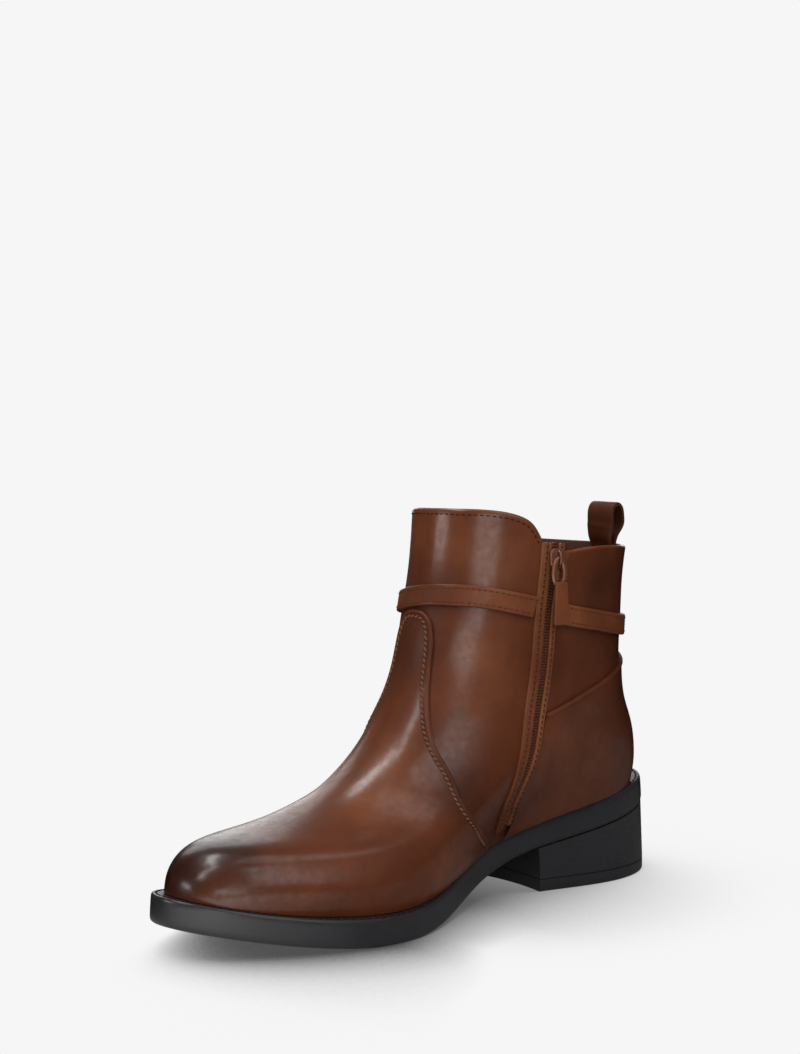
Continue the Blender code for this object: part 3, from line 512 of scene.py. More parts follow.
def topline_ring(angle):
    middle, reach, depth = OUTER_DIP
    dip = depth * np.exp(-((angle - middle) / reach) ** 2)
    return curve_at(*TOPLINE.T, np.abs(angle)) - dip


def zip_angle(ring):
    return np.interp(ring, ZIP_LINE[::-1, 1], ZIP_LINE[::-1, 0])


def strap_rows(start, end, step=1.5):
    angles = np.linspace(start, end, STRAP_POINTS)
    return even_line(np.column_stack([angles, curve_at(*STRAP_LINE.T, angles)]), step)


def tone_at(points):
    """How light the leather is at points of the working frame, 0 burnished to 1 light, with painted shade and
    painted light mixed in.
    """
    tone = np.full(len(points), MIDDLE_TONE)
    for x, side, z, reach, lighter in TONE_WITH_PAINTED_SHADE:
        away = np.linalg.norm(points * (1, 0, 1) + np.abs(points) * (0, 1, 0) - (x, side, z), axis=1)
        tone += lighter * np.exp(-(away / reach) ** 2)
    return np.clip(tone, 0, 1)


# Nodes and materials

def feed(tree, made, links):
    """Gives a node's inputs their values, or sockets to link from."""
    for key, value in links.items():
        if isinstance(value, bpy.types.NodeSocket):
            tree.links.new(value, made.inputs[key])
        else:
            made.inputs[key].default_value = value


def new_node(tree, kind, links=None, **settings):
    made = tree.nodes.new(kind)
    for key, value in settings.items():
        setattr(made, key, value)
    feed(tree, made, links or {})
    return made


def node(tree, kind, links=None, output=0, **settings):
    """One output of a new node."""
    return new_node(tree, kind, links, **settings).outputs[output]


def object_coords(tree):
    return node(tree, "ShaderNodeTexCoord", output="Object")


def noise(tree, coords, scale, detail=3.0):
    return node(tree, "ShaderNodeTexNoise", {
        "Vector": coords, "Scale": scale, "Detail": detail, "Roughness": 0.55}, "Fac")


def maths(tree, operation, first, second):
    return node(tree, "ShaderNodeMath", {0: first, 1: second}, operation=operation)


def ranged(tree, value, low, high, to_low=0.0, to_high=1.0):
    return node(tree, "ShaderNodeMapRange", {
        "Value": value, "From Min": low, "From Max": high, "To Min": to_low, "To Max": to_high}, "Result")


def patches(tree, coords, scale, detail, low, high):
    """Cloudy noise between two values."""
    return ranged(tree, noise(tree, coords, scale, detail), 0.3, 0.7, low, high)


def tint(tree, share, first, second):
    """Colour between two others."""
    return node(tree, "ShaderNodeMix", {0: share, 6: first, 7: second}, 2, data_type="RGBA")


def bump(tree, height, distance, strength):
    return node(tree, "ShaderNodeBump", {"Height": height, "Distance": distance, "Strength": strength})


def shade(colour, times=1.0):
    return (*[part * times for part in colour], 1)


def new_sockets(tree, in_out, kinds):
    """Sockets of a node group by their labels."""
    return {label: tree.interface.new_socket(label, in_out=in_out, socket_type="NodeSocket" + kind)
            for label, kind in kinds.items()}


def leather_group():
    """Polished leather: cloudy colour from dark to light by tone, fine grain and pores."""
    group = bpy.data.node_groups.new("polished_leather", "ShaderNodeTree")
    new_sockets(group, "INPUT", {
        "Tone": "Float", "Dark": "Color", "Middle": "Color", "Light": "Color", "Grain": "Float",
        "Roughness": "Float", "Polish": "Float"})
    new_sockets(group, "OUTPUT", {
        "Color": "Color", "Roughness": "Float", "Polish": "Float", "Normal": "Vector"})
    given, out = group.nodes.new("NodeGroupInput").outputs, group.nodes.new("NodeGroupOutput")
    coords = object_coords(group)
    shift = maths(group, "ADD", patches(group, coords, *CLOUDS), patches(group, coords, *STREAKS))
    tone = maths(group, "ADD", given["Tone"], shift)
    lower = tint(group, ranged(group, tone, 0.0, 0.5), given["Dark"], given["Middle"])
    pores = node(group, "ShaderNodeTexVoronoi", {"Vector": coords, "Scale": PORE_SCALE}, "Distance")
    pores = maths(group, "MULTIPLY", pores, PORE_SHARE)
    grain = maths(group, "ADD", noise(group, coords, GRAIN_SCALE), pores)
    soft = maths(group, "MULTIPLY", noise(group, coords, SOFT_SCALE, 2.0), SOFT_SHARE)
    feed(group, out, {
        "Color": tint(group, ranged(group, tone, 0.5, 1.0), lower, given["Light"]),
        "Roughness": maths(group, "ADD", given["Roughness"], ranged(group, grain, 0.3, 1.1, -0.04, 0.06)),
        "Polish": maths(group, "MULTIPLY", given["Polish"], patches(group, coords, *SHINE)),
        "Normal": bump(group, maths(group, "ADD", grain, soft), GRAIN_HEIGHT, given["Grain"])})
    return group


def new_material(name):
    material = bpy.data.materials.new(name)
    material.use_nodes = True
    return material, material.node_tree, material.node_tree.nodes["Principled BSDF"]


def leather(name, group, colours, rough=0.40, grain=0.12, coat=0.5, tone=None):
    """Leather that reads its tone from the piece, or has one tone all over."""
    material, tree, shader = new_material(name)
    if tone is None:
        tone = node(tree, "ShaderNodeAttribute", output="Fac", attribute_name="tone")
    dark, middle, light = [shade(colour) for colour in colours]
    surface = new_node(tree, "ShaderNodeGroup", {
        "Tone": tone, "Dark": dark, "Middle": middle, "Light": light, "Grain": grain, "Roughness": rough,
        "Polish": coat}, node_tree=group).outputs
    feed(tree, shader, {
        "Base Color": surface["Color"], "Roughness": surface["Roughness"], "Normal": surface["Normal"],
        "Coat Roughness": 0.21, "Specular IOR Level": 0.15})
    if coat:
        feed(tree, shader, {"Coat Weight": surface["Polish"]})
    return material


def rubber(name, colour, rough, ribs=0.0):
    """Moulded rubber with a faint mottled bump and, underneath, cross ribs."""
    material, tree, shader = new_material(name)
    coords = object_coords(tree)
    cloud = noise(tree, coords, 60.0)
    fine = maths(tree, "MULTIPLY", noise(tree, coords, 700.0), 0.25)
    height = maths(tree, "ADD", fine, maths(tree, "MULTIPLY", cloud, 0.2))
    if ribs:
        wave = node(tree, "ShaderNodeTexWave", {"Vector": coords, "Scale": ribs, "Distortion": 0.0}, "Fac")
        height = maths(tree, "ADD", height, maths(tree, "MULTIPLY", wave, 3.0))
    feed(tree, shader, {
        "Base Color": tint(tree, cloud, shade(colour), shade(colour, 1.5)),
        "Roughness": ranged(tree, cloud, 0.2, 0.8, rough - 0.05, rough + 0.07),
        "Normal": bump(tree, height, 0.0004, 0.35), "Specular IOR Level": 0.4})
    return material


def weave(name, colour):
    """Thread or zip tape with a fine twill."""
    material, tree, shader = new_material(name)
    twill = node(tree, "ShaderNodeTexWave", {
        "Vector": object_coords(tree), "Scale": 1400.0, "Distortion": 1.5}, "Fac", bands_direction="DIAGONAL")
    feed(tree, shader, {
        "Base Color": tint(tree, twill, shade(colour, 0.6), shade(colour)),
        "Normal": bump(tree, twill, 0.0002, 0.4), "Roughness": 0.75, "Specular IOR Level": 0.15})
    return material


def metal(name, colour, rough):
    """Lacquered metal with a slight brushed variation."""
    material, tree, shader = new_material(name)
    cloud = noise(tree, object_coords(tree), 300.0)
    feed(tree, shader, {
        "Base Color": tint(tree, cloud, shade(colour, 0.8), shade(colour)),
        "Roughness": ranged(tree, cloud, 0.2, 0.8, rough - 0.06, rough + 0.08), "Metallic": 0.5})
    return material


def make_materials():
    group = leather_group()
    return {
        "leather": leather("brown_leather_polished", group,
                           (DARK_BROWN, (0.098, 0.0250, 0.0085), (0.215, 0.068, 0.023))),
        "edge": leather("brown_leather_edge", group,
                        (DARK_BROWN, (0.110, 0.030, 0.0105), (0.26, 0.095, 0.038)), rough=0.46, coat=0.15),
        "strap": leather("brown_leather_strap", group,
                         (DARK_BROWN, (0.112, 0.030, 0.0105), (0.23, 0.076, 0.026)), rough=0.50, coat=0.12),
        "lining": leather("lining_leather", group,
                          ((0.03, 0.009, 0.005), (0.075, 0.024, 0.012), (0.14, 0.06, 0.035)),
                          rough=0.6, coat=0.0, grain=0.3, tone=0.45),
        "rubber": rubber("black_rubber_side", (0.0165, 0.0155, 0.0172), 0.28),
        "tread": rubber("black_rubber_tread", (0.012, 0.012, 0.013), 0.6, ribs=60.0),
        "thread": weave("brown_thread", (0.10, 0.036, 0.015)),
        "pale_thread": weave("pale_thread", (0.19, 0.080, 0.040)),
        "dark_thread": weave("dark_thread", (0.026, 0.0085, 0.005)),
        "tape": weave("brown_zip_tape", (0.075, 0.026, 0.013)),
        "teeth": metal("brown_zip_teeth", (0.17, 0.055, 0.027), 0.45),
        "metal": metal("brown_lacquered_metal", (0.21, 0.080, 0.042), 0.33)}


MATERIALS = make_materials()


# Meshes and pieces

def put(name, data):
    thing = bpy.data.objects.new(name, data)
    bpy.context.scene.collection.objects.link(thing)
    return thing


def settle(name, mesh, nodes=(), body="boot"):
    """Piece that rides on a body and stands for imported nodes."""
    piece = put(name, mesh)
    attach(piece, body)
    if nodes:
        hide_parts(*nodes)


def add_piece(name, shape, material, nodes=(), slot=None, body="boot", tone=None, lighter=None,
              second=None, which=None, closed=True):
    """Smooth mesh piece in the row's frame, of one tone, or lighter than the leather's shades."""
    points, faces = shape
    mesh = bpy.data.meshes.new(name)
    mesh.from_pydata((points * MM + PLACE).tolist(), [], faces)
    if lighter is not None:
        tone = tone_at(points) + lighter
    if tone is not None:
        layer = mesh.attributes.new("tone", "FLOAT", "POINT")
        layer.data.foreach_set("value", np.full(len(points), tone, np.float32))
    mesh.materials.append(MATERIALS[material])
    if second:
        mesh.materials.append(MATERIALS[second])
        mesh.polygons.foreach_set("material_index", np.asarray(which, dtype=np.int32))
    if closed:
        work = bmesh.new()
        work.from_mesh(mesh)
        bmesh.ops.recalc_face_normals(work, faces=work.faces[:])
        work.to_mesh(mesh)
        work.free()
    mesh.shade_smooth()
    mesh.set_sharp_from_angle(angle=math.radians(SHARP_EDGE))
    settle(name, mesh, nodes, body)


def grid_faces(rows, columns, wrap_rows=False, wrap_columns=False):
    faces = []
    for i in range(rows if wrap_rows else rows - 1):
        for j in range(columns if wrap_columns else columns - 1):
            k, n = (i + 1) % rows, (j + 1) % columns
            faces.append((i * columns + j, k * columns + j, k * columns + n, i * columns + n))
    return faces


def capped(rings):
    """Closed solid through rings of points, with a face over each end."""
    count = len(rings[0])
    points = np.reshape(rings, (-1, 3))
    faces = grid_faces(len(rings), count, wrap_columns=True)
    end = len(points) - 1
    return points, faces + [tuple(range(count)), tuple(range(end, end - count, -1))]


def add_band(name, line, profile, material, nodes=(), lift=0.0, **looks):
    """Closed solid along a line on the upper. The profile's rows are a distance to the side and a height."""
    rails = [skin(beside(line, side), height + lift) for side, height in profile]
    add_piece(name, capped(np.stack(rails, 1)), material, nodes, **looks)


def band_profile(half_low, half_high, top, bottom=TUCK, corner=0.5):
    """Strip with rounded upper edges, from one side to the other."""
    bends = np.linspace(0, math.pi / 2, 4)[1:]
    rounding = [(corner * (1 - math.cos(turn)), top - corner * (1 - math.sin(turn))) for turn in bends]
    low = [(half_low + side, height) for side, height in rounding]
    high = [(half_high - side, height) for side, height in rounding[::-1]]
    middle = [(half_low + (half_high - half_low) * share, top) for share in (0.25, 0.5, 0.75)]
    return [(half_low, bottom), (half_low, top - corner), *low, *middle, *high,
            (half_high, top - corner), (half_high, bottom)]


def tube(path, up, radius, closed=False, sides=10, flat=1.0):
    """Round or flattened bar along a path of points."""
    ahead = np.roll(path, -1, 0) - np.roll(path, 1, 0) if closed else np.gradient(path, axis=0)
    ahead = unit(ahead)
    side = unit(np.cross(ahead, up))
    above = np.cross(side, ahead)
    turn = np.linspace(0, 2 * math.pi, sides, endpoint=False)[None, :, None]
    rings = path[:, None] + radius * (np.cos(turn) * side[:, None] + flat * np.sin(turn) * above[:, None])
    if closed:
        return rings.reshape(-1, 3), grid_faces(len(path), sides, wrap_rows=True, wrap_columns=True)
    return capped(rings)


def round_rect(half, top, bottom, corner):
    """Outline of across and up with round corners."""
    corners = ((half - corner, top - corner), (-half + corner, top - corner),
               (-half + corner, bottom + corner), (half - corner, bottom + corner))
    outline = []
    for quarter, (x, y) in enumerate(corners):
        for bend in np.linspace(0, math.pi / 2, 5):
            turn = quarter * math.pi / 2 + bend
            outline.append((x + corner * math.cos(turn), y + corner * math.sin(turn)))
    return np.array(outline)


# Rows of repeated small shapes

def row_tree():
    """Geometry nodes that set one rounded bar after another along lines, and their inputs."""
    tree = bpy.data.node_groups.new("row_of_bars", "GeometryNodeTree")
    sockets = new_sockets(tree, "INPUT", {
        "Geometry": "Geometry", "Pitch": "Float", "Size": "Vector", "Slant": "Rotation",
        "Material": "Material"})
    new_sockets(tree, "OUTPUT", {"Geometry": "Geometry"})
    given, out = tree.nodes.new("NodeGroupInput").outputs, tree.nodes.new("NodeGroupOutput")
    curve = node(tree, "GeometryNodeMeshToCurve", {"Mesh": given["Geometry"]})
    points = new_node(tree, "GeometryNodeCurveToPoints", {"Curve": curve, "Length": given["Pitch"]},
                      mode="LENGTH").outputs
    along = node(tree, "FunctionNodeAlignRotationToVector", {"Vector": points["Tangent"]}, axis="X")
    ways = node(tree, "GeometryNodeInputNamedAttribute", {"Name": "out"}, "Attribute",
                data_type="FLOAT_VECTOR")
    upright = node(tree, "FunctionNodeAlignRotationToVector", {"Rotation": along, "Vector": ways},
                   axis="Z", pivot_axis="X")
    slanted = node(tree, "FunctionNodeRotateRotation", {"Rotation": upright, "Rotate By": given["Slant"]},
                   rotation_space="LOCAL")
    bar = node(tree, "GeometryNodeMeshUVSphere", {"Segments": 8, "Rings": 6, "Radius": 0.5}, "Mesh")
    placed = node(tree, "GeometryNodeInstanceOnPoints", {
        "Points": points["Points"], "Instance": bar, "Rotation": slanted, "Scale": given["Size"]})
    real = node(tree, "GeometryNodeRealizeInstances", {"Geometry": placed})
    coloured = node(tree, "GeometryNodeSetMaterial", {"Geometry": real, "Material": given["Material"]})
    feed(tree, out, {"Geometry": coloured})
    return tree, {label: socket.identifier for label, socket in sockets.items()}


ROW_TREE, ROW_SOCKETS = row_tree()


def add_row(name, lines, material):
    """Bars along lines of points and outward directions, made into a plain mesh."""
    pitch, size, slant = BARS[name]
    points = np.vstack([line for line, _ in lines]) * MM + PLACE
    out = np.vstack([ways for _, ways in lines])
    edges, start = [], 0
    for line, _ in lines:
        edges += [(start + i, start + i + 1) for i in range(len(line) - 1)]
        start += len(line)
    mesh = bpy.data.meshes.new(name + "_path")
    mesh.from_pydata(points.tolist(), edges, [])
    layer = mesh.attributes.new("out", "FLOAT_VECTOR", "POINT")
    layer.data.foreach_set("vector", out.astype(np.float32).ravel())
    path = put(name + "_path", mesh)
    modifier = path.modifiers.new("row", "NODES")
    modifier.node_group = ROW_TREE
    modifier[ROW_SOCKETS["Pitch"]] = pitch * MM
    modifier[ROW_SOCKETS["Size"]] = tuple(part * MM for part in size)
    modifier[ROW_SOCKETS["Slant"]] = (0.0, 0.0, math.radians(slant))
    modifier[ROW_SOCKETS["Material"]] = MATERIALS[material]
    deps = bpy.context.evaluated_depsgraph_get()
    made = bpy.data.meshes.new_from_object(path.evaluated_get(deps))
    bpy.data.objects.remove(path)
    made.shade_smooth()
    settle(name, made)


# The upper and its panels

def add_upper():
    """Hollow upper with a rounded collar, lined inside and cut open along the zip."""
    angles = np.arange(-180.0, 180.0, 1.0)
    rim = UPPER_WALL / 2
    top = topline_ring(angles)
    top = top - RIM_BELOW * rim / per_ring(angles, top)
    line = np.column_stack([angles, top])
    up = np.concatenate([UPPER_FOOT[:-1], np.linspace(UPPER_FOOT[-1], 1, UPPER_LEVELS)])
    places = [line * (1.0, share) for share in up]
    rows = [skin(place, 0.0) for place in places]
    outer, inner = skin(line, 0.0), skin(line, -UPPER_WALL)
    middle, half = (outer + inner) / 2, (outer - inner) / 2
    upward = unit(directions(np.radians(angles), top)[1])
    for turn in np.linspace(0, math.pi, RIM_STEPS)[1:-1]:
        rows.append(middle + half * math.cos(turn) + upward * rim * math.sin(turn))
        places.append(line)
    outside = len(rows) - 2
    for share in up[::-3]:
        places.append(line * (1.0, share))
        rows.append(skin(places[-1], -UPPER_WALL))
    count = len(rows)
    points = np.stack(rows, 1).reshape(-1, 3)
    faces = np.array(grid_faces(len(angles), count, wrap_rows=True))
    at = np.stack(places, 1).reshape(-1, 2)[faces[:, 0]]
    away = np.abs(at[:, 0] + 0.5 - zip_angle(at[:, 1])) * per_degree(at[:, 0], at[:, 1])
    faces = faces[(away > UPPER_SLIT) | (at[:, 1] < ZIP_LINE[-1, 1])]
    tone = tone_at(points).reshape(-1, count)
    # the rim along the topline is painted lighter, a painted highlight
    tone[:, len(up):outside + 2] += RIM_PAINTED_HIGHLIGHT
    add_piece("upper_leather", (points, faces.tolist()), "leather", ["upper"], tone=tone.ravel(),
              second="lining", which=faces[:, 0] % count >= outside, closed=False)


def add_panel(name, line, levels, nodes, angles_at):
    """Panel whose upper edge is a line and which runs down to the sole, with its edge turned down."""
    rows = []
    for share in np.linspace(0, 1, levels):
        ring = line[:, 1] * share
        height = PANEL_TOP if share < 1 else PANEL_TOP - PANEL_TURN
        rows.append(skin(np.column_stack([angles_at(ring), ring]), height))
    rows.append(skin(line, TUCK))
    shape = np.stack(rows, 1).reshape(-1, 3), grid_faces(len(line), len(rows))
    add_piece(name, shape, "leather", nodes, lighter=0.0, closed=False)


def add_lip(name, line, width, over):
    """Rounded bead along a panel's edge, lying to the inside of it."""
    bead = [(side * width, height * (PANEL_TOP + over)) for side, height in LIP_SHAPE]
    add_band(name, line, [(0.0, TUCK), *bead, (width, TUCK)], "edge", lighter=LIP_LIGHTER)


def add_vamp():
    edge = even_line(VAMP_EDGE, EDGE_STEP)
    both = np.vstack([mirrored(edge)[:0:-1], edge])
    add_panel("vamp_panel", both, VAMP_LEVELS, ["vamp"], lambda ring: both[:, 0])
    add_lip("vamp_lip", both, *VAMP_LIP)
    stitched = beside(both, SEAM_IN)[SEAM_START:-SEAM_START]
    # a dark strip along the stitches is painted shade of the seam's groove
    groove = band_profile(-GROOVE_SHADE_HALF, GROOVE_SHADE_HALF, PANEL_TOP + 0.08, bottom=0.8, corner=0.05)
    add_band("vamp_groove_shade", stitched, groove, "edge", tone=0.15)
    add_row("vamp_stitches", [on_skin(stitched, PANEL_TOP + 0.1)], "pale_thread")


def counter_line():
    """Line over the counter's top from the zip round the back and down the outer side."""
    top = even_line(COUNTER_TOP, EDGE_STEP)
    front = zip_angle(top[:, 1]) + REAR_CLEAR / per_degree(top[:, 0], top[:, 1])
    outer = mirrored(even_line(COUNTER_OUTER_END, EDGE_STEP)) + (360.0, 0.0)
    return np.vstack([top[top[:, 0] > front], outer[1:]])


def add_counter():
    """Rear panel: its front follows the zip's facing, its top a folded lip."""
    line = counter_line()
    start = line[0, 0]
    wide = np.clip((line[:, 0] - start) / (180.0 - start), 0, 1)

    def angles_at(ring):
        front = zip_angle(ring[0]) + REAR_CLEAR / per_degree(start, max(ring[0], 1.0))
        return np.where(line[:, 0] < 180.0, front + (180.0 - front) * wide, line[:, 0])

    add_panel("counter_panel", line, COUNTER_LEVELS, ["counter"], angles_at)
    add_lip("counter_lip", line, *COUNTER_LIP)


def add_collar_stitches():
    angles = np.arange(-COLLAR_SEAM_TO, COLLAR_SEAM_TO + 0.1, 0.5)
    line = even_line(np.column_stack([angles, topline_ring(angles)]), 1.5)
    add_row("collar_stitches", [on_skin(beside(line, COLLAR_SEAM_IN), TUCK)], "dark_thread")


# Straps and buckle

def strap_rise(angles):
    """How far the front strap has risen over the rear strap."""
    start, end = STRAP_CLIMB
    share = np.clip((angles - start) / (end - start), 0, 1)
    return STRAP_TOP * share * share * (3 - 2 * share)


def add_straps():
    half = STRAP_WIDTH / 2
    turn = 1.0 / per_degree(*ZIP_LINE[2])
    front_end = zip_angle(STRAP_END_RINGS[0]) - (FACING_FRONT + PANEL_CLEAR) * turn
    rear_end = zip_angle(STRAP_END_RINGS[1]) + REAR_CLEAR * turn
    profile = band_profile(-half, half, STRAP_TOP, corner=0.7)
    front = strap_rows(front_end, STRAP_TIP_AT)
    rise = strap_rise(front[:, 0])
    add_band("strap_front_band", front, profile, "strap", ["strap_front"], lift=rise, lighter=0.06)
    outer = strap_rows(-180.0, STRAP_CLIMB[1] - 3.0)[1:] + (360.0, 0.0)
    rear = np.vstack([strap_rows(rear_end, 180.0), outer])
    add_band("strap_rear_band", rear, profile, "strap", ["strap_rear"], lighter=0.22)
    rows = []
    for side in (STRAP_SEAM_IN - half, half - STRAP_SEAM_IN):
        rows.append(on_skin(beside(front, side), STRAP_TOP + rise + STITCH_OVER))
        rows.append(on_skin(beside(rear, side), STRAP_TOP + STITCH_OVER))
    add_row("strap_stitches", rows, "thread")


def add_buckle():
    """Frame, prong and keeper on the outer side."""
    turn = 1.0 / per_degree(BUCKLE_AT, BUCKLE_RING)
    lift = STRAP_TOP * 2 + BUCKLE_LIFT
    high = BUCKLE_HIGH - BUCKLE_BAR
    along, up = round_rect(BUCKLE_ALONG - BUCKLE_BAR, high, -high, BUCKLE_CORNER).T
    angles = BUCKLE_AT + along * turn
    centre = curve_at(*STRAP_LINE.T, angles)
    line = np.column_stack([angles, centre + up / per_ring(angles, centre)])
    bars = tube(skin(line, lift), outward(line), BUCKLE_BAR, closed=True, flat=0.75, sides=12)
    add_piece("buckle_bars", bars, "metal", ["buckle_frame"])
    reach = BUCKLE_ALONG * turn
    rows = strap_rows(BUCKLE_AT + reach * 0.9, BUCKLE_AT - reach * 0.95, 1.0)
    add_piece("buckle_pin", tube(skin(rows, lift + PRONG_LIFT), outward(rows), PRONG_BAR), "metal",
              ["buckle_prong"])
    half = STRAP_WIDTH / 2 + KEEPER_OVER
    ring = curve_at(*STRAP_LINE.T, KEEPER_AT)
    share = np.linspace(1, -1, KEEPER_STEPS)
    rings = ring + half * share / per_ring(KEEPER_AT, ring)
    across = np.column_stack([np.full(KEEPER_STEPS, KEEPER_AT), rings])
    over = STRAP_TOP * 2 * np.clip((1 - np.abs(share) ** 6) * 1.15, 0, 1)
    profile = band_profile(-KEEPER_WIDTH / 2, KEEPER_WIDTH / 2, KEEPER_TOP)
    add_band("keeper_band", across, profile, "strap", ["strap_keeper"], lift=over, lighter=0.05)


# Zip

def add_zip():
    line = even_line(ZIP_LINE, ZIP_STEP)
    long = lengthened(line, FACING_FOOT)
    add_band("facing_front", long, band_profile(CHAIN_HALF, FACING_FRONT, FACING_TOP, corner=0.45), "edge",
             ["zip_facing"], slot="strap_leather", lighter=0.10)
    add_band("facing_rear", long, band_profile(-FACING_REAR, -CHAIN_HALF, FACING_TOP, corner=0.4), "edge",
             slot="strap_leather", lighter=0.26)
    tape = [(-TAPE_HALF, -TAPE_DEPTH), (TAPE_HALF, -TAPE_DEPTH),
            (TAPE_HALF, -TAPE_LOW), (-TAPE_HALF, -TAPE_LOW)]
    add_band("zip_tape_web", line, tape, "tape", ["zip_tape"])
    chain = band_profile(-CHAIN_HALF, CHAIN_HALF, CHAIN_TOP, bottom=CHAIN_LOW, corner=0.4)
    add_band("zip_chain_core", line, chain, "tape", ["zip_chain"])
    teeth = [beside(line, TOOTH_SIDE), beside(line[1:], -TOOTH_SIDE)]
    add_row("zip_teeth", [on_skin(side, TOOTH_TOP) for side in teeth], "teeth")
    seams = [beside(long, (FACING_FRONT + CHAIN_HALF) / 2), beside(long, -(FACING_REAR + CHAIN_HALF) / 2)]
    add_row("zip_stitches", [on_skin(seam, FACING_TOP + STITCH_OVER) for seam in seams], "thread")
    add_row("zip_stitch_holes", [on_skin(seam[1:], FACING_TOP) for seam in seams], "dark_thread")


def add_tape_fold():
    """Folded end of the tape behind the slider, a thin three-cornered flap."""
    places = [(i, j) for i in range(FOLD_STEPS + 1) for j in range(FOLD_STEPS + 1 - i)]
    number = {place: k for k, place in enumerate(places)}
    first, second, third = TAPE_FOLD
    line = np.array([first + (second - first) * (i / FOLD_STEPS) + (third - first) * (j / FOLD_STEPS)
                     for i, j in places])
    faces = []
    for i, j in places:
        if i + j < FOLD_STEPS:
            faces.append((number[i, j], number[i + 1, j], number[i, j + 1]))
        if i + j < FOLD_STEPS - 1:
            faces.append((number[i + 1, j], number[i + 1, j + 1], number[i, j + 1]))
    steps = range(FOLD_STEPS)
    border = [number[i, 0] for i in steps] + [number[FOLD_STEPS - j, j] for j in steps]
    border += [number[0, FOLD_STEPS - j] for j in steps]
    count = len(line)
    faces += [tuple(count + k for k in face[::-1]) for face in faces]
    for start, end in zip(border, border[1:] + border[:1]):
        faces.append((start, end, count + end, count + start))
    points = np.vstack([skin(line, FOLD_TOP), skin(line, TUCK)])
    add_piece("tape_fold", (points, faces), "strap", tone=0.56)
    edge = even_line(np.linspace(second, third, 12), 1.0)
    add_row("tape_fold_stitches", [on_skin(edge, FOLD_TOP)], "thread")


def slider_frame():
    """Middle of the slider on the last, its level direction, the way up and the way out."""
    line = np.array([SLIDER_AT])
    out = unit(outward(line)[0] * (1, 1, 0))
    return on_last(line)[0], np.array([out[1], -out[0], 0.0]), np.array([0.0, 0.0, 1.0]), out


def rounded_plate(outline, low, high, edge):
    """Plate in the slider's directions with softened edges, an outline of across and up between depths."""
    middle, across, up, out = slider_frame()
    centre = outline.mean(0)
    size = np.abs(outline - centre).max(0)
    rings = []
    for depth, inset in ((low, edge), (low + edge, 0.0), (high - edge, 0.0),
                         (high - 0.3 * edge, 0.3 * edge), (high, edge)):
        ring = centre + (outline - centre) * (1 - inset / size)
        rings.append(middle + ring[:, :1] * across + ring[:, 1:] * up + depth * out)
    return capped(rings)


def add_slider():
    """Slider body with its bridge, and the pull with its link and leather tab."""
    wide, high = SLIDER_SIZE
    outline = round_rect(wide / 2, high / 2, -high / 2, SLIDER_CORNER)
    add_piece("slider_body", rounded_plate(outline, SLIDER_LOW, SLIDER_FACE, SLIDER_EDGE), "metal",
              ["zip_slider"])
    middle, across, up, out = slider_frame()
    turn = np.linspace(0, math.pi, 13)
    bridge = middle + np.outer(BRIDGE_HALF * np.cos(turn), up)
    bridge += np.outer(SLIDER_FACE - SLIDER_EDGE + BRIDGE_RISE * np.sin(turn) ** 0.6, out)
    add_piece("slider_bridge", tube(bridge, across, BRIDGE_BAR), "metal")
    top = PULL_BAR / 2
    turn = np.linspace(0, 2 * math.pi, 36, endpoint=False)
    ring = middle + np.outer(LINK_HALF[0] * np.sin(turn), across) + HINGE_OUT * out
    ring += np.outer(top - LINK_BELOW + LINK_HALF[1] * np.cos(turn), up)
    bar = LINK_BAR[0] + LINK_BAR[1] * np.abs(np.sin(turn))
    add_piece("pull_link", tube(ring, out, bar[:, None, None], closed=True, flat=0.6), "metal", ["zip_pull"],
              body="pull")
    low = HINGE_OUT - 0.5
    outline = round_rect(CORE_HALF, top - CORE_BELOW, top - PULL_LENGTH + 4, PULL_CORNER)
    add_piece("pull_core", rounded_plate(outline, low, low + 1.0, CORE_EDGE), "metal", body="pull")
    foot = top - PULL_LENGTH - 1.0
    outline = round_rect(TAB_WIDTH / 2, foot + TAB_LENGTH, foot, PULL_CORNER)
    outline[:, 0] *= 1 - TAB_TAPER * (outline[:, 1] - foot) / TAB_LENGTH
    low = HINGE_OUT + TAB_OVER
    add_piece("pull_tab_leather", rounded_plate(outline, low, low + TAB_THICK, SLIDER_EDGE), "strap",
              ["zip_pull_tab"], body="pull", tone=0.62)


# Pull loop

def loop_path():
    """Side view of the loop's middle, x and z, how strongly it curves round the heel, and the collar."""
    collar_ring = TOPLINE[-1, 1]
    at = np.array([(180.0, LOOP_FOOT_RING), (180.0, collar_ring), (165.0, collar_ring)])
    wall = skin(at, -UPPER_WALL)
    curve = (wall[2, 0] - wall[1, 0]) / wall[2, 1] ** 2
    clear = curve * (LOOP_WIDTH / 2 + LOOP_SIDE) ** 2 + GAP + LOOP_THICK / 2
    foot, seat = wall[0, 0] + clear, wall[1, 0] + clear
    collar = wall[1, 2]
    doubled = LOOP_THICK + GAP
    shoulder = LOOP_TOP - LOOP_THICK / 2 - LOOP_CROWN
    back = seat - LOOP_LEAN
    spread = LOOP_SPREAD - LOOP_THICK
    rear = [(foot, LOOP_FOOT), (seat, collar), (seat - 0.3 * LOOP_LEAN, collar + 4.0), (back, shoulder - 4.0)]
    crown = [(back + spread / 2 * (1 + math.cos(a)), shoulder + LOOP_CROWN * math.sin(a))
             for a in np.linspace(math.pi, 0, 7)]
    front = [(back + spread, shoulder - 4.0), (seat + 1.6 * doubled, collar + 1.0),
             (seat + doubled, collar - 3.0), (foot + doubled, LOOP_FOOT)]
    path = np.array(rear + crown + front)
    along = lengths_along(path)
    return spline(along, path, np.linspace(0, along[-1], LOOP_STEPS)), curve, collar


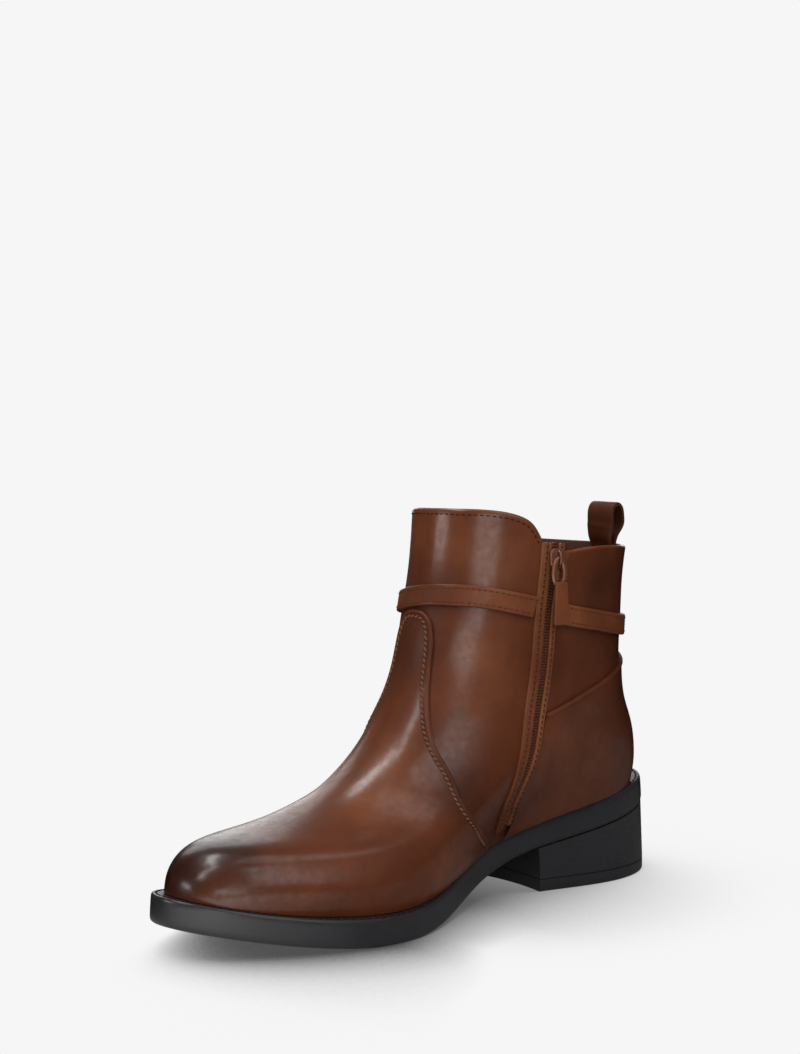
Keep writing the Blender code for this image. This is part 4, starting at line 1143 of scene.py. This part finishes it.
def add_loop():
    path, curve, collar = loop_path()
    half = LOOP_WIDTH / 2
    ahead = np.gradient(path, axis=0)
    side = unit(np.stack([-ahead[:, 1], ahead[:, 0]], 1))
    rails = []
    for across, thick in band_profile(-half, half, LOOP_THICK / 2, bottom=-LOOP_THICK / 2, corner=0.4):
        rail = path + side * thick
        y = LOOP_SIDE + across
        bent = np.clip(1 - (rail[:, 1] - collar) / LOOP_FLAT, 0, 1)
        shift = bent * curve * (y * y - (half + LOOP_SIDE) ** 2)
        rails.append(np.column_stack([rail[:, 0] + shift, np.full(len(rail), y), rail[:, 1]]))
    add_piece("loop_strip", capped(np.stack(rails, 1)), "strap", ["pull_loop"], tone=0.27)


# Sole and heel

def closed_stack(rings):
    """Closed solid through rings of points, with strips across both ends, and which faces lie underneath."""
    count = len(rings[0])
    faces = grid_faces(len(rings), count, wrap_columns=True)
    sides = len(faces)
    for level in (0, sides):
        for i in range(count // 2):
            strip = [i, i + 1, (-i - 1) % count, (-i) % count]
            strip = [k for n, k in enumerate(strip) if k not in strip[:n]]
            faces.append(tuple(level + k for k in strip))
    under = np.zeros(len(faces), int)
    under[sides:sides + count // 2] = 1
    return (np.vstack(rings), faces), under


def add_sole():
    angle = round_angles(SOLE_FINE_POINTS)
    rings = []
    for height, out in zip(SOLE_EDGE["height"], SOLE_EDGE["out"]):
        line = sole_outline(angle, out)
        low, high = sole_underside(line[:, 0]), sole_top(line[:, 0])
        rings.append(np.column_stack([line, low + (high - low) * height]))
    shape, under = closed_stack(rings)
    add_piece("sole_rubber", shape, "rubber", ["outsole"], second="tread", which=under)
    line = sole_outline(angle, -WELT_IN)
    line = np.column_stack([line, sole_top(line[:, 0]) + WELT_OVER])
    welt = np.vstack([line, line[:1]])
    upward = np.tile((0.0, 0.0, 1.0), (len(welt), 1))
    add_row("welt_stitches", [(welt, upward)], "dark_thread")


def heel_ring(height, out):
    """The sole's outline behind the breast, at a height for each x."""
    line = sole_outline(round_angles(HEEL_FINE_POINTS), out)
    line = line[line[:, 0] < HEEL_LENGTH]
    back = line[np.linspace(0, len(line) - 1, HEEL_POINTS).round().astype(int)]
    across = np.linspace(0, 1, BREAST_POINTS + 2)[1:-1, None]
    breast = back[-1] + (back[0] - back[-1]) * across
    breast[:, 0] -= BREAST_HOLLOW * 4 * (across * (1 - across))[:, 0]
    line = np.vstack([back, breast])
    return np.column_stack([line, height(line[:, 0])])


def add_heel():
    floor = TOPLIFT_THICK + GAP
    rings = []
    for lift in range(HEEL_LIFTS):
        for within, groove in LIFT_SHAPE:
            share = (lift + within) / HEEL_LIFTS
            out = HEEL_FLARE * (1 - share) - groove * LIFT_GROOVE
            rings.append(heel_ring(lambda x: floor + (sole_underside(x) - GAP - floor) * share, out))
    rings.append(heel_ring(lambda x: sole_underside(x) - GAP, -LIFT_GROOVE))
    add_piece("heel_stack", capped(rings), "rubber", ["heel_block"])
    tip = capped([heel_ring(lambda x: np.full_like(x, z), HEEL_FLARE - inset) for z, inset in TOPLIFT_SHAPE])
    under = np.zeros(len(tip[1]), int)
    under[-2] = 1
    add_piece("heel_tip", tip, "rubber", ["heel_toplift"], second="tread", which=under)


def add_insole():
    angle = np.degrees(round_angles(INSOLE_POINTS))
    rise = INSOLE_THICK / (RINGS["back_z"][1] - RINGS["back_z"][0])
    rings = []
    for ring, clear in ((0.0, INSOLE_CLEAR), (0.8 * rise, INSOLE_CLEAR), (rise, INSOLE_CLEAR + INSOLE_ROUND)):
        rings.append(skin(np.column_stack([angle, np.full_like(angle, ring)]), -UPPER_WALL - clear))
    add_piece("insole_sock", closed_stack(rings)[0], "lining", ["insole"])


# Floor, light and camera

def toward(turn, up):
    """Direction at degrees from the inner side to the toe, and degrees up."""
    turn, up = math.radians(turn), math.radians(up)
    return Vector((math.sin(turn) * math.cos(up), math.cos(turn) * math.cos(up), math.sin(up)))


def aim(thing, ahead):
    thing.rotation_euler = ahead.to_track_quat("-Z", "Y").to_euler()


def add_camera():
    lens = bpy.data.cameras.new("camera")
    lens.lens = CAMERA_LENS
    lens.sensor_width = SENSOR_WIDTH
    camera = put("camera", lens)
    camera.location = np.array(CAMERA_AT) * MM + PLACE
    aim(camera, -toward(CAMERA_YAW, CAMERA_PITCH))
    bpy.context.scene.camera = camera


def mix_shaders(tree, share, first, second):
    return node(tree, "ShaderNodeMixShader", {0: share, 1: first, 2: second})


def openness(tree, samples, links):
    return node(tree, "ShaderNodeAmbientOcclusion", links, "AO", samples=samples)


def add_floor():
    """Pale floor as bright as the background, with a soft shadow round the boot."""
    mesh = bpy.data.meshes.new("floor")
    corners = [(x * FLOOR_HALF, y * FLOOR_HALF, 0) for x, y in ((-1, -1), (1, -1), (1, 1), (-1, 1))]
    mesh.from_pydata(corners, [], [(0, 1, 2, 3)])
    floor = put("floor", mesh)
    material = bpy.data.materials.new("pale_floor")
    material.use_nodes = True
    tree = material.node_tree
    tree.nodes.clear()
    coords = object_coords(tree)
    x, y, _ = new_node(tree, "ShaderNodeSeparateXYZ", {0: coords}).outputs
    open_sky = openness(tree, 12, {"Distance": FLOOR_REACH})
    under_heel = ranged(tree, open_sky, *HEEL_OPEN, ranged(tree, x, *HEEL_DEEPEST))
    side = node(tree, "ShaderNodeCombineXYZ", dict(enumerate(TOE_SHADOW_FROM)))
    reach = ranged(tree, x, *TOE_SHADOW_BETWEEN, *TOE_SHADOW_REACH)
    open_side = openness(tree, 16, {"Distance": reach, "Normal": side})
    under_toe = ranged(tree, open_side, *TOE_OPEN)
    pale = node(tree, "ShaderNodeMix", {0: ranged(tree, x, *HEEL_TO_TOE), 2: under_heel, 3: under_toe})
    seen = node(tree, "ShaderNodeEmission", {"Color": shade(BACKGROUND), "Strength": pale})
    away = node(tree, "ShaderNodeVectorMath", {0: coords}, "Value", operation="LENGTH")
    strength = maths(tree, "MULTIPLY", ranged(tree, x, *SHEEN_AHEAD), ranged(tree, y, *SHEEN_INNER))
    strength = maths(tree, "MULTIPLY", strength, ranged(tree, away, *SHEEN_NEAR))
    sheen = node(tree, "ShaderNodeEmission", {"Strength": strength})
    bounce = node(tree, "ShaderNodeBsdfDiffuse", {"Color": shade(FLOOR_GREY)})
    ray = new_node(tree, "ShaderNodeLightPath").outputs
    unseen = mix_shaders(tree, ray["Is Glossy Ray"], bounce, sheen)
    either = mix_shaders(tree, ray["Is Camera Ray"], unseen, seen)
    new_node(tree, "ShaderNodeOutputMaterial", {"Surface": either})
    mesh.materials.append(material)


def add_lights():
    for turn, up, distance, wide, tall, watts, mirrored_too in SOFTBOXES:
        lamp = bpy.data.lights.new("softbox", "AREA")
        lamp.shape = "RECTANGLE"
        lamp.size, lamp.size_y = wide, tall
        lamp.energy = watts
        softbox = put("softbox", lamp)
        ahead = toward(CAMERA_YAW - turn, up)
        softbox.location = Vector(LIT_POINT) + ahead * distance
        aim(softbox, -ahead)
        softbox.visible_glossy = mirrored_too
    world = bpy.data.worlds.new("studio")
    bpy.context.scene.world = world
    world.use_nodes = True
    tree = world.node_tree
    tree.nodes.clear()
    ray = new_node(tree, "ShaderNodeLightPath").outputs
    around = ranged(tree, ray["Is Glossy Ray"], 0.0, 1.0, *SKY_STRENGTH)
    lit = node(tree, "ShaderNodeBackground", {"Color": shade(SKY_COLOUR), "Strength": around})
    seen = node(tree, "ShaderNodeBackground", {"Color": shade(BACKGROUND), "Strength": 1.0})
    blend = mix_shaders(tree, ray["Is Camera Ray"], lit, seen)
    new_node(tree, "ShaderNodeOutputWorld", {"Surface": blend})
    bpy.context.scene.view_settings.view_transform = "Standard"


for add in (add_camera, add_floor, add_lights, add_upper, add_vamp, add_counter, add_collar_stitches,
            add_straps, add_buckle, add_zip, add_tape_fold, add_slider, add_loop, add_sole, add_heel,
            add_insole):
    add()
